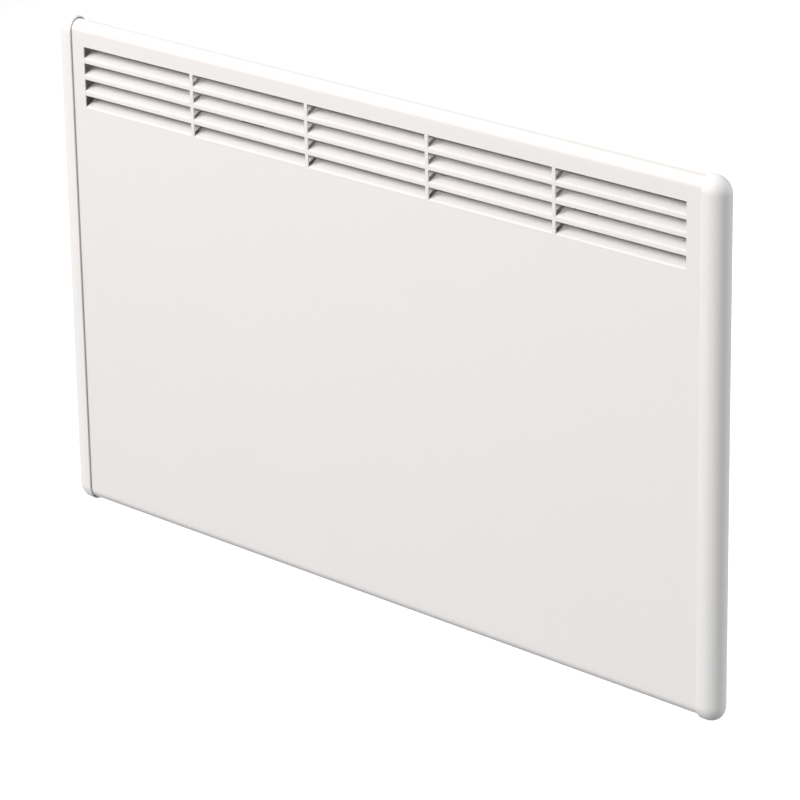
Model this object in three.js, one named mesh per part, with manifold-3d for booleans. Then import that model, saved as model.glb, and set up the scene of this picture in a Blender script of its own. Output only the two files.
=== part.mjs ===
// Wall panel convector heater: a folded louvred front, a pressed rear casing, end caps, a finned
// heating element, a floor-projecting thermostat module and the bracket that holds it all to a wall.
// Millimetres, X to the right, Y back towards the wall, Z up. The origin is the middle of the upper
// bracket rail's back face, on the wall.

import * as THREE from "three";
import { mergeVertices } from "three/addons/utils/BufferGeometryUtils.js";
import Module from "manifold-3d";

// ---------------------------------------------------------------- driving dimensions

const WALL_DISTANCE = 80; // wall to the front of the panel
const PANEL_TOP = 79; // the panel's top edge above the upper rail
const FIT = 0.3; // gap between pieces that seat on each other

// Front panel: one folded sheet
const PANEL_HEIGHT = 399;
const PANEL_SHOWN = 637; // width between the end caps
const PANEL_TUCK = 6; // how far the sheet runs on under each cap
const SHEET = 1;
const FOLD_RADIUS = 8; // outer radius of the half-round top and bottom folds
const LIP = 11; // height of the rear lips that the folds end in

// Louvres, lanced from the front panel
const LOUVRE_GROUPS = 5;
const LOUVRE_ROWS = 4;
const GROUP_PITCH = 122.67;
const SLOT_WIDTH = 119.33;
const ROW_PITCH = 13;
const SLOT_HEIGHT = 10;
const FIRST_SLOT_DROP = 19; // the panel's top edge to the first slot's
const FLAP_LENGTH = 9.4;
const FLAP_RISE = 25; // degrees above level
const FLAP_BEND = 1.3; // bend radius at the root, to the middle of the sheet
const LANCE_GAP = 0.25; // sheared clearance at each end of a flap

// End caps
const CAP_REACH = 337; // middle of the heater to a cap's outermost point
const CAP_CROWN = 13.6; // how far the rounded outer side stands out
const CAP_PROUD = 1.5; // front and back of a cap beyond the panel
const CAP_OVERRUN = 2.4; // top and bottom of a cap beyond the panel
const CAP_CORNER = 13; // radius of a cap's outer corners, seen from the front
const CAP_WALL = 2.2;
const CAP_RIM = 0.8; // rounding of the edge that meets the panel

// Rear casing: a drafted pan with a rim that is screwed to the panel's lips
const CASING_SHEET = 1;
const CASING_BACK = 52; // panel front to the casing's back
const RIM_HALF = 318;
const RIM_TOP = 9.5; // below the panel's top edge
const RIM_BOTTOM = 391;
const MOUTH = { half: 308, top: 19, bottom: 381, corner: 10 };
const BACK = { half: 292, top: 39, bottom: 381, corner: 16 };
const PAN_BEND = 4;
const RIM_CORNER = 6;
const INLET = { width: 6, length: 22, pitch: 14, first: -282, count: 24 };
const HOOK_SLOT = { top: 325, bottom: 342, width: 44 }; // edges below the panel's top edge
const LATCH_SLOT = { top: 61, bottom: 78, width: 22 };
const SWAGE = { half: 120, height: 12, depth: 1.6, drops: [130, 230] };

// Casing screws
const SCREW = { head: 3.6, headHeight: 2.2, shank: 1.5, length: 7, hole: 1.9 };
const SCREW_COLUMNS = [-300, -100, 100, 300];

// Heating element
const ELEMENT = { half: 248, drop: 282, depth: 27, hub: 7, wing: 20, sheet: 2, pitch: 44, slit: 2.4 };
const WING_SETBACK = 14; // the wings stop this far short of the element's half length
const HUB_OVERHANG = 12; // and the bare hub goes this far beyond it
const TERMINAL = { rod: 3, bead: 5, beadLength: 9, pin: 1.6, pinLength: 11 };
const HANGER = { width: 26, sheet: 1.5, foot: 22, hole: 9.2, bend: 2 };
const BUSH = { flange: 11.5, flangeEnd: -3, shoulder: -1.3, end: 3.4 };

// Thermostat module, a moulded box behind the lower right edge
const MODULE = { left: 112, width: 172, depth: 28, height: 42, wall: 2.2, corner: 3 };
const MODULE_FRONT = 20; // panel front to the module's front wall
const MODULE_DROP = 385; // the panel's top edge to the module's underside
const SWITCH_X = 22; // from the module's left end, as are the next three
const PORT_X = 57;
const BUTTON_XS = [58, 78, 98];
const WINDOW_X = 146;
const BUTTON = { radius: 4.2, proud: 1.8, travel: 1.2, flange: 5.6 };
const ROCKER = { half: 8.8, width: 11, drop: 4.6, tilt: 10, hub: 3, pivot: 1.2, pivotRise: 3 };
const BEZEL = { halfWidth: 13, halfDepth: 9, proud: 1.2 };
const SWITCH_BODY = { halfWidth: 11, halfDepth: 7, height: 17, blade: 24 };
const WINDOW = { width: 40, depth: 16, thickness: 1, ledge: 1.5 };
const BOARD = { left: 44, level: 12, thickness: 1.6, contact: 2.4, connector: 11 };
const RELAY = { left: 100, width: 19, front: 7, depth: 15, height: 14 };
const LENS_RISE = 2.5; // above the foot of the barrel
const MODULE_SCREW_INSET = 12; // from each end of the module
const MODULE_SCREW_RISE = 30; // above its underside

// Mains inlet, room sensor and cut-out
const GLAND = { x: 88, shank: 6, bore: 3.6, flange: 9, rise: 11, tail: 15 };
const SENSOR = { x: 68, body: 2.6, flange: 4.6, rise: 10, hang: 8 };
const CUTOUT = { x: -60, drop: 246, radius: 8.2, height: 7, tab: 8 };
const CLIP = { sheet: 1, width: 14, reach: 9, top: 11, root: 14, end: 26 };
const LEAD_RADIUS = 1.2;
const TERMINAL_BLOCK = { x: 62, z: -358, poles: 3, pitch: 11, depth: 13, height: 15 };

// Wall bracket
const UPRIGHT_X = 170;
const UPRIGHT = { width: 34, sheet: 1.5, top: 30, bottom: -252 };
const RAIL = { half: 205, height: 30, sheet: 1.5, lip: 7, gap: 215 };
const WALL_SLOT = { width: 7, length: 18, x: 110 };
const LATCH = { width: 28, bottom: -8, top: 29, pad: 10, back: -4, nose: 18, travel: 7, margin: 3 };
const HOOK = { nose: 3.5, rise: 9, depth: 6 }; // the upright's hook, from its seat
const UPRIGHT_FOOT = 8; // the uprights go on this far below their bottom

// ---------------------------------------------------------------- modelling helpers

const wasm = await Module();
wasm.setup();

const X = new THREE.Vector3(1, 0, 0);
const Y = new THREE.Vector3(0, 1, 0);
const Z = new THREE.Vector3(0, 0, 1);
const rad = THREE.MathUtils.degToRad;

/** A closed three.js geometry as a solid that can be cut and joined. */
function solid(geometry) {
  const bare = geometry.index ? geometry.toNonIndexed() : geometry.clone();
  bare.deleteAttribute("normal");
  bare.deleteAttribute("uv");
  const merged = mergeVertices(bare, 1e-4);
  const index = merged.index.array;
  const kept = [];
  for (let i = 0; i < index.length; i += 3) {
    const [a, b, c] = [index[i], index[i + 1], index[i + 2]];
    if (a !== b && b !== c && c !== a) kept.push(a, b, c);
  }
  return new wasm.Manifold(
    new wasm.Mesh({
      numProp: 3,
      vertProperties: merged.attributes.position.array,
      triVerts: new Uint32Array(kept),
    }),
  );
}

/** A solid as a flat-shaded three.js geometry. */
function geometryOf(shape) {
  const mesh = shape.getMesh();
  const geometry = new THREE.BufferGeometry();
  geometry.setAttribute("position", new THREE.BufferAttribute(mesh.vertProperties, 3));
  geometry.setIndex(new THREE.BufferAttribute(mesh.triVerts, 1));
  const faceted = geometry.toNonIndexed();
  faceted.computeVertexNormals();
  return faceted;
}

/** A straight extrusion of an outline. Its plane is YZ, XZ or XY for the axes x, y and z. */
function prism(axis, outline, from, to, segments = 3) {
  const geometry = new THREE.ExtrudeGeometry(outline, {
    depth: to - from,
    bevelEnabled: false,
    curveSegments: segments,
  });
  const turn = new THREE.Matrix4();
  if (axis === "x") turn.makeBasis(Y, Z, X).setPosition(from, 0, 0);
  if (axis === "y") turn.makeBasis(X, Z, Y.clone().negate()).setPosition(0, to, 0);
  if (axis === "z") turn.setPosition(0, 0, from);
  return solid(geometry.applyMatrix4(turn));
}

/** A block between two opposite corners. */
function block([x0, y0, z0], [x1, y1, z1]) {
  const geometry = new THREE.BoxGeometry(x1 - x0, y1 - y0, z1 - z0);
  geometry.translate((x0 + x1) / 2, (y0 + y1) / 2, (z0 + z1) / 2);
  return solid(geometry);
}

/** A round bar along an axis, through the point at. */
function bar(axis, radius, from, to, at = [0, 0, 0], sides = 16) {
  const geometry = new THREE.CylinderGeometry(radius, radius, to - from, sides);
  geometry.translate(0, (from + to) / 2, 0);
  if (axis === "x") geometry.rotateZ(-Math.PI / 2);
  if (axis === "z") geometry.rotateX(Math.PI / 2);
  geometry.translate(...at);
  return solid(geometry);
}

/** A turned piece: [radius, height] pairs from the axis round and back to it. */
function turned(axis, profile, sides = 20) {
  const points = profile.map(([r, h]) => new THREE.Vector2(r, h));
  const geometry = new THREE.LatheGeometry(points, sides);
  if (axis === "x") geometry.rotateZ(-Math.PI / 2);
  if (axis === "z") geometry.rotateX(Math.PI / 2);
  return solid(geometry);
}

/** Several solids as one. */
function joined(parts) {
  return parts.reduce((whole, part) => whole.add(part));
}

/** A solid with several others cut out of it. */
function cut(shape, tools) {
  return tools.reduce((rest, tool) => rest.subtract(tool), shape);
}

/** A slot with round ends, as an outline round a centre. */
function slotOutline(x, y, width, height) {
  const radius = Math.min(width, height) / 2;
  return roundedRectangle(x - width / 2, y - height / 2, x + width / 2, y + height / 2, radius);
}

/** A rectangle with rounded corners. */
function roundedRectangle(x0, y0, x1, y1, radius) {
  const outline = new THREE.Shape();
  outline.moveTo(x0 + radius, y0);
  outline.lineTo(x1 - radius, y0);
  outline.absarc(x1 - radius, y0 + radius, radius, -Math.PI / 2, 0);
  outline.lineTo(x1, y1 - radius);
  outline.absarc(x1 - radius, y1 - radius, radius, 0, Math.PI / 2);
  outline.lineTo(x0 + radius, y1);
  outline.absarc(x0 + radius, y1 - radius, radius, Math.PI / 2, Math.PI);
  outline.lineTo(x0, y0 + radius);
  outline.absarc(x0 + radius, y0 + radius, radius, Math.PI, 1.5 * Math.PI);
  return outline;
}

/** The outline of bent sheet: a path down the middle of the metal, thickened to both sides. */
function bentSheet(path, thickness, segments = 6) {
  const line = path.getPoints(segments).filter((p, i, all) => !i || p.distanceTo(all[i - 1]) > 1e-6);
  const left = [];
  const right = [];
  line.forEach((point, i) => {
    const before = line[Math.max(i - 1, 0)];
    const after = line[Math.min(i + 1, line.length - 1)];
    const arriving = point.clone().sub(i ? before : point).normalize();
    const leaving = after.clone().sub(point).normalize();
    const tangent = arriving.clone().add(leaving).normalize();
    const bends = leaving.lengthSq() > 0 && arriving.lengthSq() > 0;
    const half = bends ? Math.sqrt((1 + arriving.dot(leaving)) / 2) : 1;
    const normal = new THREE.Vector2(-tangent.y, tangent.x).multiplyScalar(thickness / 2 / half);
    left.push(point.clone().add(normal));
    right.unshift(point.clone().sub(normal));
  });
  return new THREE.Shape([...left, ...right]);
}

/** A skin through rings of equal point counts, closed by fans at both ends. */
function loft(rings) {
  const count = rings[0].length;
  const positions = [];
  const triangle = (a, b, c) => positions.push(...a, ...b, ...c);
  for (let r = 0; r < rings.length - 1; r++) {
    for (let i = 0; i < count; i++) {
      const j = (i + 1) % count;
      triangle(rings[r][i], rings[r][j], rings[r + 1][j]);
      triangle(rings[r][i], rings[r + 1][j], rings[r + 1][i]);
    }
  }
  const [first, last] = [rings[0], rings[rings.length - 1]];
  for (let i = 1; i < count - 1; i++) {
    triangle(first[0], first[i + 1], first[i]);
    triangle(last[0], last[i], last[i + 1]);
  }
  const geometry = new THREE.BufferGeometry();
  geometry.setAttribute("position", new THREE.Float32BufferAttribute(positions, 3));
  return solid(geometry);
}

// ---------------------------------------------------------------- finishes

const paint = (color, roughness, metalness = 0) => () =>
  new THREE.MeshStandardMaterial({ color, roughness, metalness });
const POWDER_COAT = paint(0xf2f1ef, 0.45);
const CAP_PLASTIC = paint(0xf4f3f1, 0.38);
const MODULE_PLASTIC = paint(0xe9e9e6, 0.5);
const GALVANISED = paint(0xb4b8ba, 0.42, 0.9);
const ALUMINIUM = paint(0xc9ccd0, 0.35, 1);
const STEEL = paint(0xa3a6a9, 0.3, 1);
const CERAMIC = paint(0xe8e2d4, 0.6);
const BLACK_PLASTIC = paint(0x1b1c1d, 0.45);
const BOARD_GREEN = paint(0x1e5b3a, 0.55);
const RELAY_BLUE = paint(0x2b4f86, 0.4);
const CLEAR = paint(0xe8eef0, 0.08);
const AMBER = paint(0xe0702a, 0.1);
const LEAD_BROWN = paint(0x6a4127, 0.5);
const LEAD_BLUE = paint(0x2c5fa8, 0.5);
const LEAD_BLACK = paint(0x222222, 0.5);

/** A named mesh of a solid, added to a group at a place; side -1 makes it left-handed. */
function place(group, name, shape, finish, position = [0, 0, 0], side = 1) {
  const mesh = new THREE.Mesh(geometryOf(shape), finish());
  mesh.name = name;
  mesh.position.set(...position);
  mesh.scale.x = side;
  group.add(mesh);
  return mesh;
}

// ---------------------------------------------------------------- front panel

const PANEL_HALF = PANEL_SHOWN / 2 + PANEL_TUCK;
const LIP_DEPTH = 2 * FOLD_RADIUS; // panel front to the back of its lips
const SLOTS_LEFT = -((LOUVRE_GROUPS - 1) * GROUP_PITCH + SLOT_WIDTH) / 2;

/** Side view of the folded sheet, a C with half-round ends: depth across, height up, top edge at 0. */
function panelSection() {
  const middle = FOLD_RADIUS - SHEET / 2;
  const path = new THREE.Path();
  path.moveTo(LIP_DEPTH - SHEET / 2, -FOLD_RADIUS - LIP);
  path.lineTo(LIP_DEPTH - SHEET / 2, -FOLD_RADIUS);
  path.absarc(FOLD_RADIUS, -FOLD_RADIUS, middle, 0, Math.PI);
  path.lineTo(SHEET / 2, -PANEL_HEIGHT + FOLD_RADIUS);
  path.absarc(FOLD_RADIUS, -PANEL_HEIGHT + FOLD_RADIUS, middle, Math.PI, 2 * Math.PI);
  path.lineTo(LIP_DEPTH - SHEET / 2, -PANEL_HEIGHT + FOLD_RADIUS + LIP);
  return bentSheet(path, SHEET, 8);
}

/** Side view of one flap: it leaves the slot's lower edge, bends in and rises to its free edge. */
function flapSection(slotBottom) {
  const root = 1.2; // overlap with the sheet below the slot
  const turn = rad(90 - FLAP_RISE);
  const bendEnd = new THREE.Vector2(
    SHEET / 2 + FLAP_BEND * (1 - Math.cos(turn)),
    slotBottom + FLAP_BEND * Math.sin(turn),
  );
  const path = new THREE.Path();
  path.moveTo(SHEET / 2, slotBottom - root);
  path.lineTo(SHEET / 2, slotBottom);
  path.absarc(SHEET / 2 + FLAP_BEND, slotBottom, FLAP_BEND, Math.PI, Math.PI - turn, true);
  path.lineTo(
    bendEnd.x + FLAP_LENGTH * Math.cos(rad(FLAP_RISE)),
    bendEnd.y + FLAP_LENGTH * Math.sin(rad(FLAP_RISE)),
  );
  return bentSheet(path, SHEET, 2);
}

/** Top edges of the louvre rows, below the panel's top edge. */
const rowTops = Array.from({ length: LOUVRE_ROWS }, (_, row) => -FIRST_SLOT_DROP - row * ROW_PITCH);

/** Left ends of the louvre groups. */
const groupLefts = Array.from({ length: LOUVRE_GROUPS }, (_, g) => SLOTS_LEFT + g * GROUP_PITCH);

/** Where the casing screws go: [x, z] below the panel's top edge. */
const screwPlaces = [-(RIM_TOP + MOUTH.top) / 2, -(RIM_BOTTOM + MOUTH.bottom) / 2].flatMap((z) =>
  SCREW_COLUMNS.map((x) => [x, z]),
);

/** The folded sheet with its louvres lanced and its lips drilled for the casing's screws. */
function frontPanel() {
  const sheet = prism("x", panelSection(), -PANEL_HALF, PANEL_HALF);
  const slots = [];
  const flaps = [];
  for (const top of rowTops) {
    const section = flapSection(top - SLOT_HEIGHT);
    for (const left of groupLefts) {
      slots.push(block([left, -1, top - SLOT_HEIGHT], [left + SLOT_WIDTH, SHEET + 1, top]));
      flaps.push(prism("x", section, left + LANCE_GAP, left + SLOT_WIDTH - LANCE_GAP));
    }
  }
  const screwHoles = screwPlaces.map(([x, z]) =>
    bar("y", SCREW.hole, LIP_DEPTH - 3, LIP_DEPTH + 3, [x, 0, z], 10),
  );
  return cut(sheet, slots).add(joined(flaps)).subtract(joined(screwHoles));
}

// ---------------------------------------------------------------- end caps

/** A slice of a cap at one x: a slot shape, drawn in by the shares from its full depth and corner. */
function capRing(x, inset, share) {
  const steps = 8;
  const halfDepth = (FOLD_RADIUS + CAP_PROUD - inset) * share;
  const endRise = (CAP_CORNER - inset) * share;
  const ends = [
    { z: CAP_OVERRUN - CAP_CORNER, start: 0 },
    { z: -PANEL_HEIGHT - CAP_OVERRUN + CAP_CORNER, start: Math.PI },
  ];
  return ends.flatMap(({ z, start }) =>
    Array.from({ length: steps + 1 }, (_, i) => {
      const angle = start + (Math.PI * i) / steps;
      return [x, FOLD_RADIUS + halfDepth * Math.cos(angle), z + endRise * Math.sin(angle)];
    }),
  );
}

/** The right cap's form, every surface drawn in by inset, from x outwards. */
function capForm(from, inset, roundedRim) {
  const crownSteps = 6;
  const crownStart = CAP_REACH - CAP_CROWN;
  const crown = CAP_CROWN - inset;
  const rings = [];
  if (roundedRim) {
    for (const share of [0, 0.5]) {
      const angle = (share * Math.PI) / 2;
      const drawnIn = CAP_RIM * (1 - Math.sin(angle));
      rings.push(capRing(from + CAP_RIM * (1 - Math.cos(angle)), inset + drawnIn, 1));
    }
    rings.push(capRing(from + CAP_RIM, inset, 1));
  } else {
    rings.push(capRing(from, inset, 1));
  }
  for (let i = 0; i <= crownSteps; i++) {
    const angle = (Math.PI / 2) * (i / crownSteps);
    const share = i < crownSteps ? Math.cos(angle) : 0;
    rings.push(capRing(crownStart + crown * Math.sin(angle), inset, share));
  }
  return loft(rings);
}

/** Right end cap: a hollow moulding whose sleeve slides over the end of the folded panel. */
function rightEndCap() {
  const inner = PANEL_SHOWN / 2;
  const sleeveRadius = FOLD_RADIUS + FIT;
  const sleeve = slotOutline(FOLD_RADIUS, -PANEL_HEIGHT / 2, 2 * sleeveRadius, PANEL_HEIGHT + 2 * FIT);
  const socket = prism("x", sleeve, inner - 1, inner + PANEL_TUCK + FIT, 4);
  const hollow = capForm(inner + PANEL_TUCK, CAP_WALL, false);
  return cut(capForm(inner, 0, true), [socket, hollow]);
}

// ---------------------------------------------------------------- rear casing

/** A rounded rectangle at a depth, between the casing's mouth and back, drawn in by inset. */
function panRing(depth, inset, wallInset) {
  const share = (depth - LIP_DEPTH) / (CASING_BACK - LIP_DEPTH);
  const mix = (key) => THREE.MathUtils.lerp(MOUTH[key], BACK[key], share);
  const off = inset + wallInset;
  const half = mix("half") - off;
  const top = -mix("top") - off;
  const bottom = -mix("bottom") + off;
  const corner = Math.max(mix("corner") - off, 2);
  const outline = roundedRectangle(-half, bottom, half, top, corner);
  return outline
    .extractPoints(2)
    .shape.filter((p, i, all) => p.distanceTo(all[(i + 1) % all.length]) > 1e-6)
    .map((p) => [p.x, depth, p.y]);
}

/** The pan's form from its mouth to its back, with a bend where wall meets back. */
function panForm(from, back, wallInset, bend) {
  const bendSteps = 3;
  const rings = [panRing(from, 0, wallInset)];
  for (let i = 0; i <= bendSteps; i++) {
    const angle = (Math.PI / 2) * (i / bendSteps);
    rings.push(panRing(back - bend * (1 - Math.sin(angle)), bend * (1 - Math.cos(angle)), wallInset));
  }
  return loft(rings.reverse());
}

const RIM_BACK = LIP_DEPTH + FIT + CASING_SHEET;

/** Holes in the casing's back for the bracket's hooks and latch noses. */
function bracketOpenings() {
  return [-UPRIGHT_X, UPRIGHT_X].flatMap((x) =>
    [HOOK_SLOT, LATCH_SLOT].map(({ top, bottom, width }) =>
      block([x - width / 2, CASING_BACK - 3, -bottom], [x + width / 2, CASING_BACK + 3, -top]),
    ),
  );
}

const BOTTOM_MIDDLE = (LIP_DEPTH + CASING_BACK) / 2 + 1; // depth of the row of air inlets

/** The pressed pan on its rim, with swages, air inlets and openings for what passes through it. */
function rearCasing() {
  const rim = prism(
    "y",
    roundedRectangle(-RIM_HALF, -RIM_BOTTOM, RIM_HALF, -RIM_TOP, RIM_CORNER),
    LIP_DEPTH + FIT,
    RIM_BACK,
    2,
  );
  const outside = panForm(LIP_DEPTH + FIT, CASING_BACK, 0, PAN_BEND);
  const inside = panForm(LIP_DEPTH - 2, CASING_BACK - CASING_SHEET, CASING_SHEET, PAN_BEND - CASING_SHEET);
  const swages = SWAGE.drops.map((drop) => slotOutline(0, -drop, 2 * SWAGE.half, SWAGE.height));
  const raised = swages.map((s) => prism("y", s, CASING_BACK - 0.5, CASING_BACK + SWAGE.depth, 2));
  const pressedIn = SWAGE.drops.map((drop) =>
    prism(
      "y",
      slotOutline(0, -drop, 2 * SWAGE.half - 2, SWAGE.height - 2),
      CASING_BACK - 2,
      CASING_BACK + SWAGE.depth - CASING_SHEET,
      2,
    ),
  );
  const inlets = Array.from({ length: INLET.count }, (_, i) =>
    prism(
      "z",
      slotOutline(INLET.first + i * INLET.pitch, BOTTOM_MIDDLE, INLET.width, INLET.length),
      -MOUTH.bottom - 3,
      -MOUTH.bottom + 4,
      1,
    ),
  );
  const moduleHole = block(
    [MODULE.left - 1, MODULE_FRONT - 1, -MOUTH.bottom - 3],
    [MODULE.left + MODULE.width + 1, MODULE_FRONT + MODULE.depth + 1, -MOUTH.bottom + 4],
  );
  const through = (x, radius) =>
    bar("z", radius, -MOUTH.bottom - 3, -MOUTH.bottom + 4, [x, BOTTOM_MIDDLE, 0], 14);
  const screwHoles = screwPlaces.map(([x, z]) =>
    bar("y", SCREW.hole, LIP_DEPTH - 1, RIM_BACK + 2, [x, 0, z], 10),
  );
  const bossHoles = moduleScrews.map(([x, z]) =>
    bar("y", SCREW.hole, CASING_BACK - 3, CASING_BACK + 3, [x, 0, z], 10),
  );
  const shell = joined([rim, outside, ...raised]);
  return cut(shell, [
    inside,
    ...pressedIn,
    joined(inlets),
    moduleHole,
    through(GLAND.x, GLAND.shank + FIT),
    through(SENSOR.x, SENSOR.body + FIT),
    joined(screwHoles),
    joined(bossHoles),
    ...bracketOpenings(),
  ]);
}

/** A pan-head screw that points forwards, its head seated at y = 0, with a driver's slot. */
function screw() {
  const { head, headHeight, shank, length } = SCREW;
  const profile = [
    [0, -length],
    [shank, 1 - length],
    [shank, 0],
    [head, 0],
    [head * 0.8, headHeight * 0.8],
    [0, headHeight],
  ];
  const arm = head * 0.5;
  const recess = 0.6;
  const slot = block([-arm, headHeight * 0.5, -recess], [arm, headHeight + 1, recess]);
  return turned("y", profile, 8).subtract(slot);
}

// ---------------------------------------------------------------- heating element

const ELEMENT_AXIS = [0, ELEMENT.depth, -ELEMENT.drop];

/** End view of the element's extrusion: a round hub with four wings, in a cross turned by 45 degrees. */
function wingedSection() {
  const { hub, wing, sheet } = ELEMENT;
  const root = Math.asin(sheet / 2 / hub);
  const outline = new THREE.Shape();
  for (let i = 0; i < 4; i++) {
    const angle = rad(45 + 90 * i);
    const along = new THREE.Vector2(Math.cos(angle), Math.sin(angle));
    const across = new THREE.Vector2(-along.y, along.x).multiplyScalar(sheet / 2);
    const tip = along.clone().multiplyScalar(wing);
    if (!i) outline.moveTo(hub * Math.cos(angle - root), hub * Math.sin(angle - root));
    outline.lineTo(tip.x - across.x, tip.y - across.y);
    outline.lineTo(tip.x + across.x, tip.y + across.y);
    outline.absarc(0, 0, hub, angle + root, angle + Math.PI / 2 - root);
  }
  return outline;
}

/** Extruded aluminium body, its wings sawn across into short fins, with bare hub ends. */
function heatingElement() {
  const { half, hub, wing, pitch, slit } = ELEMENT;
  const wingEnd = half - WING_SETBACK;
  const hubEnd = half + HUB_OVERHANG;
  const body = prism("x", wingedSection(), -wingEnd, wingEnd, 2);
  const count = Math.floor((2 * half - 40) / pitch);
  const reach = wing + 2;
  const saws = Array.from({ length: count }, (_, i) => {
    const x = (i - (count - 1) / 2) * pitch;
    return block([x - slit / 2, -reach, -reach], [x + slit / 2, reach, reach]);
  });
  return cut(body, [joined(saws)]).add(bar("x", hub - 0.2, -hubEnd, hubEnd, [0, 0, 0], 16));
}

/** The element's right end connection: sheath, ceramic bead and contact pin, along X. */
function elementTerminal() {
  const { rod, bead, beadLength, pin, pinLength } = TERMINAL;
  const profile = [
    [0, 0],
    [rod, 0],
    [rod, 4],
    [bead, 4.6],
    [bead, 4 + beadLength],
    [pin, 4.6 + beadLength],
    [pin, 4 + beadLength + pinLength],
    [0, 4.5 + beadLength + pinLength],
  ];
  return turned("x", profile, 12);
}

/** Ceramic bush that carries a hub end in a hanger, its flange on the inner side. */
function elementBush() {
  const { flange, flangeEnd, shoulder, end } = BUSH;
  const bore = ELEMENT.hub + FIT;
  const neck = HANGER.hole - FIT;
  const outline = [
    [bore, flangeEnd],
    [flange, flangeEnd],
    [flange, shoulder],
    [neck, shoulder],
    [neck, end],
    [bore, end],
    [bore, flangeEnd],
  ];
  return turned("x", outline, 16);
}

/** Bent bracket on the casing's back that holds one end of the element. */
function elementHanger() {
  const { width, sheet, foot, hole, bend } = HANGER;
  const footLine = CASING_BACK - CASING_SHEET - FIT - ELEMENT.depth - sheet / 2;
  const path = new THREE.Path();
  path.moveTo(foot, footLine);
  path.lineTo(bend, footLine);
  path.absarc(bend, footLine - bend, bend, Math.PI / 2, Math.PI);
  path.lineTo(0, -width / 2 - 2);
  const strip = prism("z", bentSheet(path, sheet, 2), -width / 2, width / 2);
  return strip.subtract(bar("x", hole, -3, 3, [0, 0, 0], 16));
}

// ---------------------------------------------------------------- thermal cut-out

/** Bimetal disc cut-out, standing on y = 0: a flanged body and two spade tabs. */
function overheatCutout() {
  const { radius, height, tab } = CUTOUT;
  const cap = radius * 0.86;
  const profile = [
    [0, 0],
    [radius, 0],
    [radius, 2.2],
    [cap, 2.6],
    [cap, height],
    [0, height],
  ];
  const body = turned("y", profile, 16);
  const tabs = [-5, 5].map((x) => block([x - 0.4, height - 0.5, -3], [x + 0.4, height + tab, 3]));
  return joined([body, ...tabs]);
}

/** Clip on the casing's back that stands the cut-out off, open at its middle. */
function cutoutClip() {
  const { sheet, width, reach, top, root, end } = CLIP;
  const path = new THREE.Path();
  path.moveTo(-end, -sheet / 2);
  path.lineTo(-root, -sheet / 2);
  path.lineTo(-top, -reach);
  path.lineTo(top, -reach);
  path.lineTo(root, -sheet / 2);
  path.lineTo(end, -sheet / 2);
  return prism("z", bentSheet(path, sheet, 2), -width / 2, width / 2);
}

// ---------------------------------------------------------------- thermostat module

/** Screw places of the module: [x, z] in the heater's frame. */
const moduleScrews = [MODULE_SCREW_INSET, MODULE.width - MODULE_SCREW_INSET].map((x) => [
  MODULE.left + x,
  MODULE_SCREW_RISE - MODULE_DROP,
]);

/** The ports in the module's underside for the switch, the window and the buttons. */
function undersidePorts() {
  const { depth, wall } = MODULE;
  const { thickness, ledge } = WINDOW;
  const middle = depth / 2;
  const rectangle = (x, halfWidth, halfDepth, top) =>
    block([x - halfWidth, middle - halfDepth, -1], [x + halfWidth, middle + halfDepth, top]);
  const halves = [WINDOW.width / 2, WINDOW.depth / 2];
  return [
    rectangle(SWITCH_X, SWITCH_BODY.halfWidth + FIT, SWITCH_BODY.halfDepth + FIT, wall + 1),
    rectangle(WINDOW_X, halves[0] + FIT, halves[1] + FIT, thickness + FIT),
    rectangle(WINDOW_X, halves[0] - ledge, halves[1] - ledge, wall + 1),
    ...BUTTON_XS.map((x) => bar("z", BUTTON.radius + FIT, -1, wall + 1, [x, middle, 0], 14)),
  ];
}

/** Ribs along the front and back walls that carry the circuit board. */
function boardRibs() {
  const { width, depth, wall } = MODULE;
  return [BOARD.left + 4, width / 2 + 24, width - wall - 8].flatMap((x) =>
    [wall - 0.1, depth - wall - 2.9].map((y) =>
      block([x - 1, y, wall - 0.1], [x + 1, y + 3, BOARD.level - FIT]),
    ),
  );
}

/** Moulded box, open at the top, with ports in its underside and bosses on its back. */
function moduleHousing() {
  const { width, depth, height, wall, corner } = MODULE;
  const outer = prism("z", roundedRectangle(0, 0, width, depth, corner), 0, height, 2);
  const inner = prism(
    "z",
    roundedRectangle(wall, wall, width - wall, depth - wall, corner - wall),
    wall,
    height + 1,
    1,
  );
  const standOff = CASING_BACK - CASING_SHEET - FIT - MODULE_FRONT;
  const onScrews = (radius, from, to) =>
    moduleScrews.map(([x, z]) => bar("y", radius, from, to, [x - MODULE.left, 0, z + MODULE_DROP], 12));
  const vents = Array.from({ length: 6 }, (_, i) =>
    block([14 + i * 6, -1, height - 22], [17 + i * 6, wall + 1, height - 8]),
  );
  const box = joined([cut(outer, [inner]), ...boardRibs(), ...onScrews(4.5, depth - 0.5, standOff)]);
  const pilots = onScrews(SCREW.shank + FIT, depth - wall - 1, standOff + 1);
  return cut(box, [...undersidePorts(), ...pilots, joined(vents)]);
}

/** Lid that plugs into the top of the module, with a slot for the leads. */
function moduleCover() {
  const { width, depth, wall, corner } = MODULE;
  const lid = prism("z", roundedRectangle(0, 0, width, depth, corner), 0, 1.8, 2);
  const inset = wall + FIT;
  const rib = inset + 1.5;
  const plug = block([inset, inset, -3], [width - inset, depth - inset, 0.5]);
  const plugHollow = block([rib, rib, -4], [width - rib, depth - rib, 0]);
  const leadPort = prism("z", slotOutline(PORT_X, depth / 2, 19, 5), -5, 5, 3);
  return cut(lid.add(plug), [plugHollow, leadPort]);
}

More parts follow.
